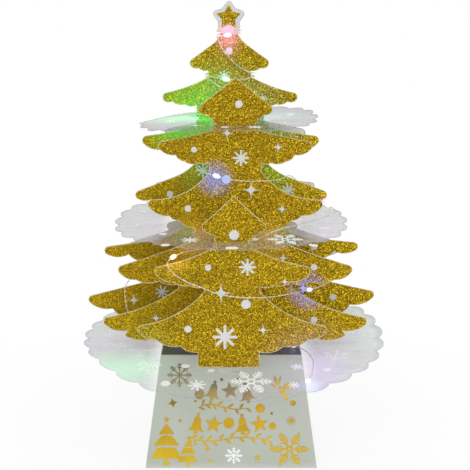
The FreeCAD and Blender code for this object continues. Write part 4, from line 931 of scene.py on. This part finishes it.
STAR = pointed_star(5, 0.42)
foil_prints = [
    (STAR, (-42.7, 32.6), 2.3), ([bough(0.5, 5.1, 6.4, 3, -0.4)], (-42.7, 23.4), 1.0),
    ([bough(3.3, 8.4, 6.2, 4, -0.5)], (-42.7, 15.9), 1.0), ([bough(6.2, 10.0, 7.0, 5, -0.4)], (-42.9, 6.9), 1.0),
    ([bough(3.0, 2.0, 1.3, 1, 0.0), bough(1.4, 1.4, 3.0, 1, 0.0)], (-42.9, 2.0), 1.0),
    (STAR, (-28.3, 20.2), 1.4), ([bough(0.3, 2.9, 3.9, 2, -0.3)], (-28.3, 14.8), 1.0),
    ([bough(3.0, 4.9, 3.8, 3, -0.3)], (-28.6, 10.0), 1.0), ([bough(4.2, 6.3, 4.0, 4, -0.3)], (-28.8, 4.4), 1.0),
    ([bough(1.9, 1.2, 1.6, 1, 0.0)], (-28.5, 1.7), 1.0),
    (flake(8, 0.10, ((0.52, 0.30), (0.76, 0.20)), 45.0, 0.0, 0.0, 90.0), (-33.9, 62.4), 8.2),
    (FULL_TWINKLE, (-38.4, 43.8), 3.6, 12), (SPOT, (-33.6, 32.0), 1.0),
    (FULL_TWINKLE, (-15.6, 13.0), 2.4), (sparkle(0.7), (-14.0, 5.1), 1.8),
    (pointed_star(5, 0.36), (17.2, 6.9), 3.1, 12),
    (flake(6, 0.10, ((0.36, 0.30), (0.56, 0.26), (0.76, 0.19)), 50.0, 0.13, 0.07, 0.0), (38.6, 12.8),
     (12.4, 11.8)),
    (rayed(10, 0.16, 0.30), (39.5, 31.9), 3.5), (SPOT, (40.5, 43.8), 2.0),
    # a sprig of holly
    ([put(leaf(8.5, 3.6), (33.2, 53.0), 1.0, 25), put(leaf(8.0, 3.4), (33.0, 52.6), 1.0, -62)], (0, 0), 1.0),
    ([put(leaf(7.0, 2.2), (31.0, 55.5), 1.0, 112), put(leaf(6.0, 1.6), (31.4, 56.0), 1.0, 78),
      put(leaf(5.0, 1.6), (30.0, 54.5), 1.0, 150)], (0, 0), 1.0),
    (SPOT, (32.0, 53.8), 1.3), (SPOT, (34.6, 52.2), 1.2), (SPOT, (33.0, 50.8), 1.1),
    # two rows of bells, stars and baubles over leafy boughs
    (SPOT, (-20.7, 49.6), 3.3), (SPOT, (19.1, 40.2), 3.1),
    (bell(), (-11.8, 52.0), 6.6, -12), (STAR, (-0.8, 52.0), 6.2, 8), (bell(), (10.2, 50.6), 6.6, 12),
    (SPOT, (-6.2, 59.4), 1.1), (SPOT, (4.2, 59.6), 1.1),
    (garland([(-22.0, 40.6), (-17.2, 42.6), (-12.0, 42.8), (-4.9, 41.0), (3.6, 39.6), (12.0, 40.6)], 11, 4.6),
     (0, 0), 1.0),
    (bell(), (-22.6, 30.0), 6.8, -10), (STAR, (-11.6, 29.4), 6.4, -8), (SPOT, (-1.6, 30.4), 3.6),
    (bell(), (7.4, 29.4), 6.8, 4), (STAR, (18.6, 29.6), 6.4, 8), (SPOT, (27.2, 28.2), 2.4),
    (garland([(-29.0, 21.6), (-22.0, 18.6), (-10.0, 18.4), (4.0, 20.6), (18.1, 20.0), (27.0, 17.6)], 17, 5.0),
     (0, 0), 1.0),
    (SPOT, (-23.6, 45.2), 0.9), (SPOT, (26.6, 36.8), 1.0),
]
mounted("foil_on_base", laid(foil_prints, on_front), [gold_foil()], FOIL_PRINT)
mounted("snow_on_base", laid([(flake(8, 0.10, ((0.40, 0.26), (0.66, 0.24)), 45.0, 0.0, 0.0, 90.0), (1.7, 8.4), 6.0)],
                             on_front), [film_print], FOIL_PRINT)

# ------------------------------------------------------------------ the string of lights

# The wire's route in millimetres: out of the battery box, up behind the centre card to the star, and down again
# round the cards' necks to the last light.
ROUTE = [
    (-40, 20, 11), (-40, 20, 21), (-34, 17.5, 38), (-15, 11, 56), (6, 8, 72), (6.6, 8.5, 98), (5.2, 7.4, 136),
    (6.7, 8.4, 180), (5.2, 7.5, 222), (5.8, 5.2, 250), (1.5, 5.6, 266), (-8.8, 4.2, 277), (-9.6, -2.5, 278.2),
    (5, -3.4, 280), (6.7, 2.4, 280.1), (-9.4, 2.2, 281.2), (-9.3, -2.6, 282), (5.6, -2.7, 282.2),
    (6.9, 4, 281.8), (-8.6, 4.4, 279.4), (-8.9, -4, 279.2), (-7.3, -4, 272.9), (-2, -3.6, 265.4),
    (5.6, -3.4, 258.5), (12.2, -3.4, 255.6), (15.3, -1.8, 255.2), (14.9, 3.3, 254.9), (-1, 4.4, 254.8),
    (-16.2, 3.2, 254.7), (-17.1, -2.7, 254.3), (-9.6, -5.3, 252.4), (3, -5.5, 250.8), (12.8, -4, 252.2),
    (15.5, -1.4, 253.2), (14.8, 2.4, 253.3), (-1, 2.6, 253), (-15.9, 2.6, 252.6), (-16.6, -2.4, 252.6),
    (-11.2, -3.2, 249.4), (-7.4, -3.5, 246.1), (3, -4.4, 242.4), (18.6, -5, 232.4), (24.7, -2.3, 230.4),
    (24.7, 2.4, 229.8), (17.6, 5, 229.4), (-2, 4, 229.4), (-18.2, 5, 229.2), (-24.8, 2.2, 229),
    (-24.6, -2.6, 229), (-18.6, -6, 229.2), (-7, -11, 229.4), (1.6, -14.2, 227.6), (4, -15.4, 221.5),
    (-4, -16.5, 212), (-19.5, -20.5, 202.5), (-23.4, -28.6, 198.6), (-16.4, -33.2, 196.2), (-2, -33.2, 191.8),
    (10.6, -33.2, 190.4), (28.4, -29.5, 190.4), (34.8, -12, 188.8), (38.5, 0.5, 188.6), (44, 9, 183),
    (59.2, 7, 170.4), (70, -5, 165.7), (66.5, -17, 165.6), (53, -33, 165.4), (37, -42, 163.6),
    (24.5, -44, 160.6), (16.6, -43.4, 155.6), (2, -44, 151.2), (-17, -46, 150.4), (-31, -52.5, 149.8),
    (-40, -62.5, 146.8), (-37, -64.4, 141), (-29, -62.8, 134.6), (-19.8, -61.8, 130.6), (-8, -61.4, 125.4),
    (5, -61.2, 123.2), (20, -60.8, 123), (35, -51, 121.8), (45, -39, 120.2), (56, -28, 118.8),
    (66, -15, 119.2), (71, -2, 119.4), (61, 12, 118), (38, 15.5, 116), (12, 15, 113.6), (-16, 15.5, 112),
    (-44, 12.5, 114), (-66, 4, 118), (-72.5, -7, 114), (-70, -16.5, 101), (-66, -17.5, 88), (-57, -18, 79.4),
    (-38, -18.4, 78), (-14, -13.5, 77.9), (12, -14, 78), (34, -19, 77.9), (48, -31, 78), (53, -50, 78),
    (50.5, -70, 78), (48.4, -78, 77.8), (44.4, -90, 77.4),
]
# The runs of the route that carry a light at their middle.
LIT_RUNS = [12, 30, 49, 44, 56, 63, 72, 81, 87, 93, 95, 98, 102]


def wire_line():
    """Points along the wire's smooth line: the NURBS spline whose control points are the route."""
    curve = bpy.data.curves.new("wire_line", "CURVE")
    curve.dimensions = "3D"
    curve.resolution_u = 10
    spline = curve.splines.new("NURBS")
    spline.points.add(len(ROUTE) - 1)
    spline.points.foreach_set("co", np.column_stack((np.array(ROUTE, float), np.ones(len(ROUTE)))).ravel())
    spline.order_u = 3
    spline.use_endpoint_u = True
    holder = bpy.data.objects.new("wire_line", curve)
    line = bpy.data.meshes.new_from_object(holder)
    points = np.empty(len(line.vertices) * 3)
    line.vertices.foreach_get("co", points)
    bpy.data.objects.remove(holder)
    bpy.data.meshes.remove(line)
    return points.reshape(-1, 3)


def evenly(points, pace):
    """The same line with its points an equal pace apart, read off by the length along it."""
    length = np.append(0.0, np.cumsum(np.linalg.norm(np.diff(points, axis=0), axis=1)))
    at = np.linspace(0.0, length[-1], int(length[-1] / pace) + 1)
    return np.stack([np.interp(at, length, points[:, axis]) for axis in range(3)], axis=1), at


def frames(points):
    """Two directions square to a line at each point. The first is square to the line and to one fixed direction,
    chosen from many spread over a half sphere as the one that the line keeps farthest from."""
    ahead = unit(np.gradient(points, axis=0))
    many = 400
    number = np.arange(many)
    up = (number + 0.5) / many
    angle = number * math.pi * (3 - math.sqrt(5))
    level = np.sqrt(1 - up ** 2)
    choices = np.stack((level * np.cos(angle), level * np.sin(angle), up), axis=1)
    fixed = choices[np.argmin(np.abs(ahead @ choices.T).max(axis=0))]
    aside = unit(np.cross(ahead, fixed))
    return aside, np.cross(ahead, aside)


def tube(points, radius, sides):
    """A round tube along a line, its ends closed: a ring of the radius is set square to the line at each point."""
    aside, above = frames(points)
    turn = (np.arange(sides) * 2 * math.pi / sides)[:, None]
    ring = radius * (np.cos(turn) * aside[:, None, :] + np.sin(turn) * above[:, None, :])
    spots = (points[:, None, :] + ring).reshape(-1, 3)
    end = np.arange(sides)[None, :]
    return spots, [quads(len(points), sides, True), end[:, ::-1], end + (len(points) - 1) * sides]


# A strand's radius, how far its middle lies from the wire's line, and the pitch of the twist, in millimetres.
STRAND = 0.19
STRAND_OUT = STRAND * 1.05
TWIST = 7.0


def twisted_wire():
    """Two strands laid round each other: they run beside the wire's line on opposite sides, a turn every pitch."""
    line, at = evenly(wire_line(), 1.0)
    aside, above = frames(line)
    strands = []
    for start in (0.0, math.pi):
        turn = (start + 2 * math.pi * at / TWIST)[:, None]
        strands.append(tube(line + STRAND_OUT * (np.cos(turn) * aside + np.sin(turn) * above), STRAND, 5))
    return strands


# Enamelled copper: warm and pale, a little deeper in patches.
enamel = two_toned("enamelled_copper", (200, 184, 158), (234, 226, 210), 240.0, 2.0, None, (0.6, 0.8),
                   Roughness=0.35, Metallic=0.15)
wire = mounted("twisted_wire", twisted_wire(), [enamel], None, True)
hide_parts("light_wire")


def drop(centre, ahead, long, wide, rings, sides):
    """A long round bead: rings of a sphere from pole to pole, stretched along the wire, with a cap at each pole.
    The rings are set square to the wire by a fixed slant that no lit run follows."""
    ahead = unit(ahead)
    aside = unit(np.cross(ahead, (0.31, 0.55, 0.78)))
    above = np.cross(ahead, aside)
    polar = np.linspace(0.0, math.pi, rings + 2)[1:-1, None]
    turn = (np.arange(sides) * 2 * math.pi / sides)[None, :]
    along = long / 2 * np.cos(polar)
    out = wide / 2 * np.sin(polar)
    spots = (along[..., None] * ahead + (out * np.cos(turn))[..., None] * aside
             + (out * np.sin(turn))[..., None] * above).reshape(-1, 3)
    spots = np.vstack((spots, ahead * long / 2, -ahead * long / 2)) + np.array(centre)
    near = cap(rings * sides, 0, sides)
    far = cap(rings * sides + 1, (rings - 1) * sides, sides)
    return spots, [quads(rings, sides, True)[:, ::-1], near, far[:, [0, 2, 1]]]


def lit(tree, skin, value, colour, stops):
    """Gives a finish and its light one colour: the lamp's own, mixed with a share of white at each stop."""
    tone = ramp(tree, value, [(at, [share + (1 - share) * c for c in colour] + [1.0]) for at, share in stops])
    for socket in ("Base Color", "Emission Color"):
        tree.links.new(tone, skin.inputs[socket])


def resin(name, colour):
    """Clear resin over a lit lamp: glassy, with its lamp's colour in it, paler in patches."""
    material, tree, skin, place = finish_named(name + "_resin", Roughness=0.08, Alpha=0.55, Emission_Strength=0.9)
    lit(tree, skin, noise(tree, place, 500.0, 2.0), colour, [(0.35, 0.4), (0.65, 0.7)])
    return material


def lamp_core(name, colour):
    """The lit chip: nearly white at its middle and more its own colour round it."""
    material, tree, skin, place = finish_named(name + "_lamp", Roughness=0.4, Emission_Strength=1.5)
    out = ranged(tree, vector_of(tree, "DISTANCE", place, middle(name)), 0.0004, 0.0016, 0.0, 1.0)
    lit(tree, skin, out, colour, [(0.0, 0.8), (1.0, 0.35)])
    return material


# The length and width of a bead's resin and of the lit chip inside it, in millimetres.
RESIN_SIZE = (5.2, 3.0)
CHIP_SIZE = (2.6, 1.7)

for number, run in enumerate(LIT_RUNS):
    name = f"light_{number + 1:02d}"
    ahead = np.subtract(ROUTE[run + 1], ROUTE[run])
    centre = middle(name) / MM
    colour = LIGHTS[name]
    shell, chip = drop(centre, ahead, *RESIN_SIZE, 12, 14), drop(centre, ahead, *CHIP_SIZE, 6, 8)
    piece = mounted("bead_" + name.removeprefix("light_"), [shell, chip],
                    [resin(name, colour), lamp_core(name, colour)], None, True)
    which = np.zeros(len(piece.data.polygons), np.int32)
    which[sum(len(block) for block in shell[1]):] = 1
    piece.data.polygons.foreach_set("material_index", which)
    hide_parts(name)
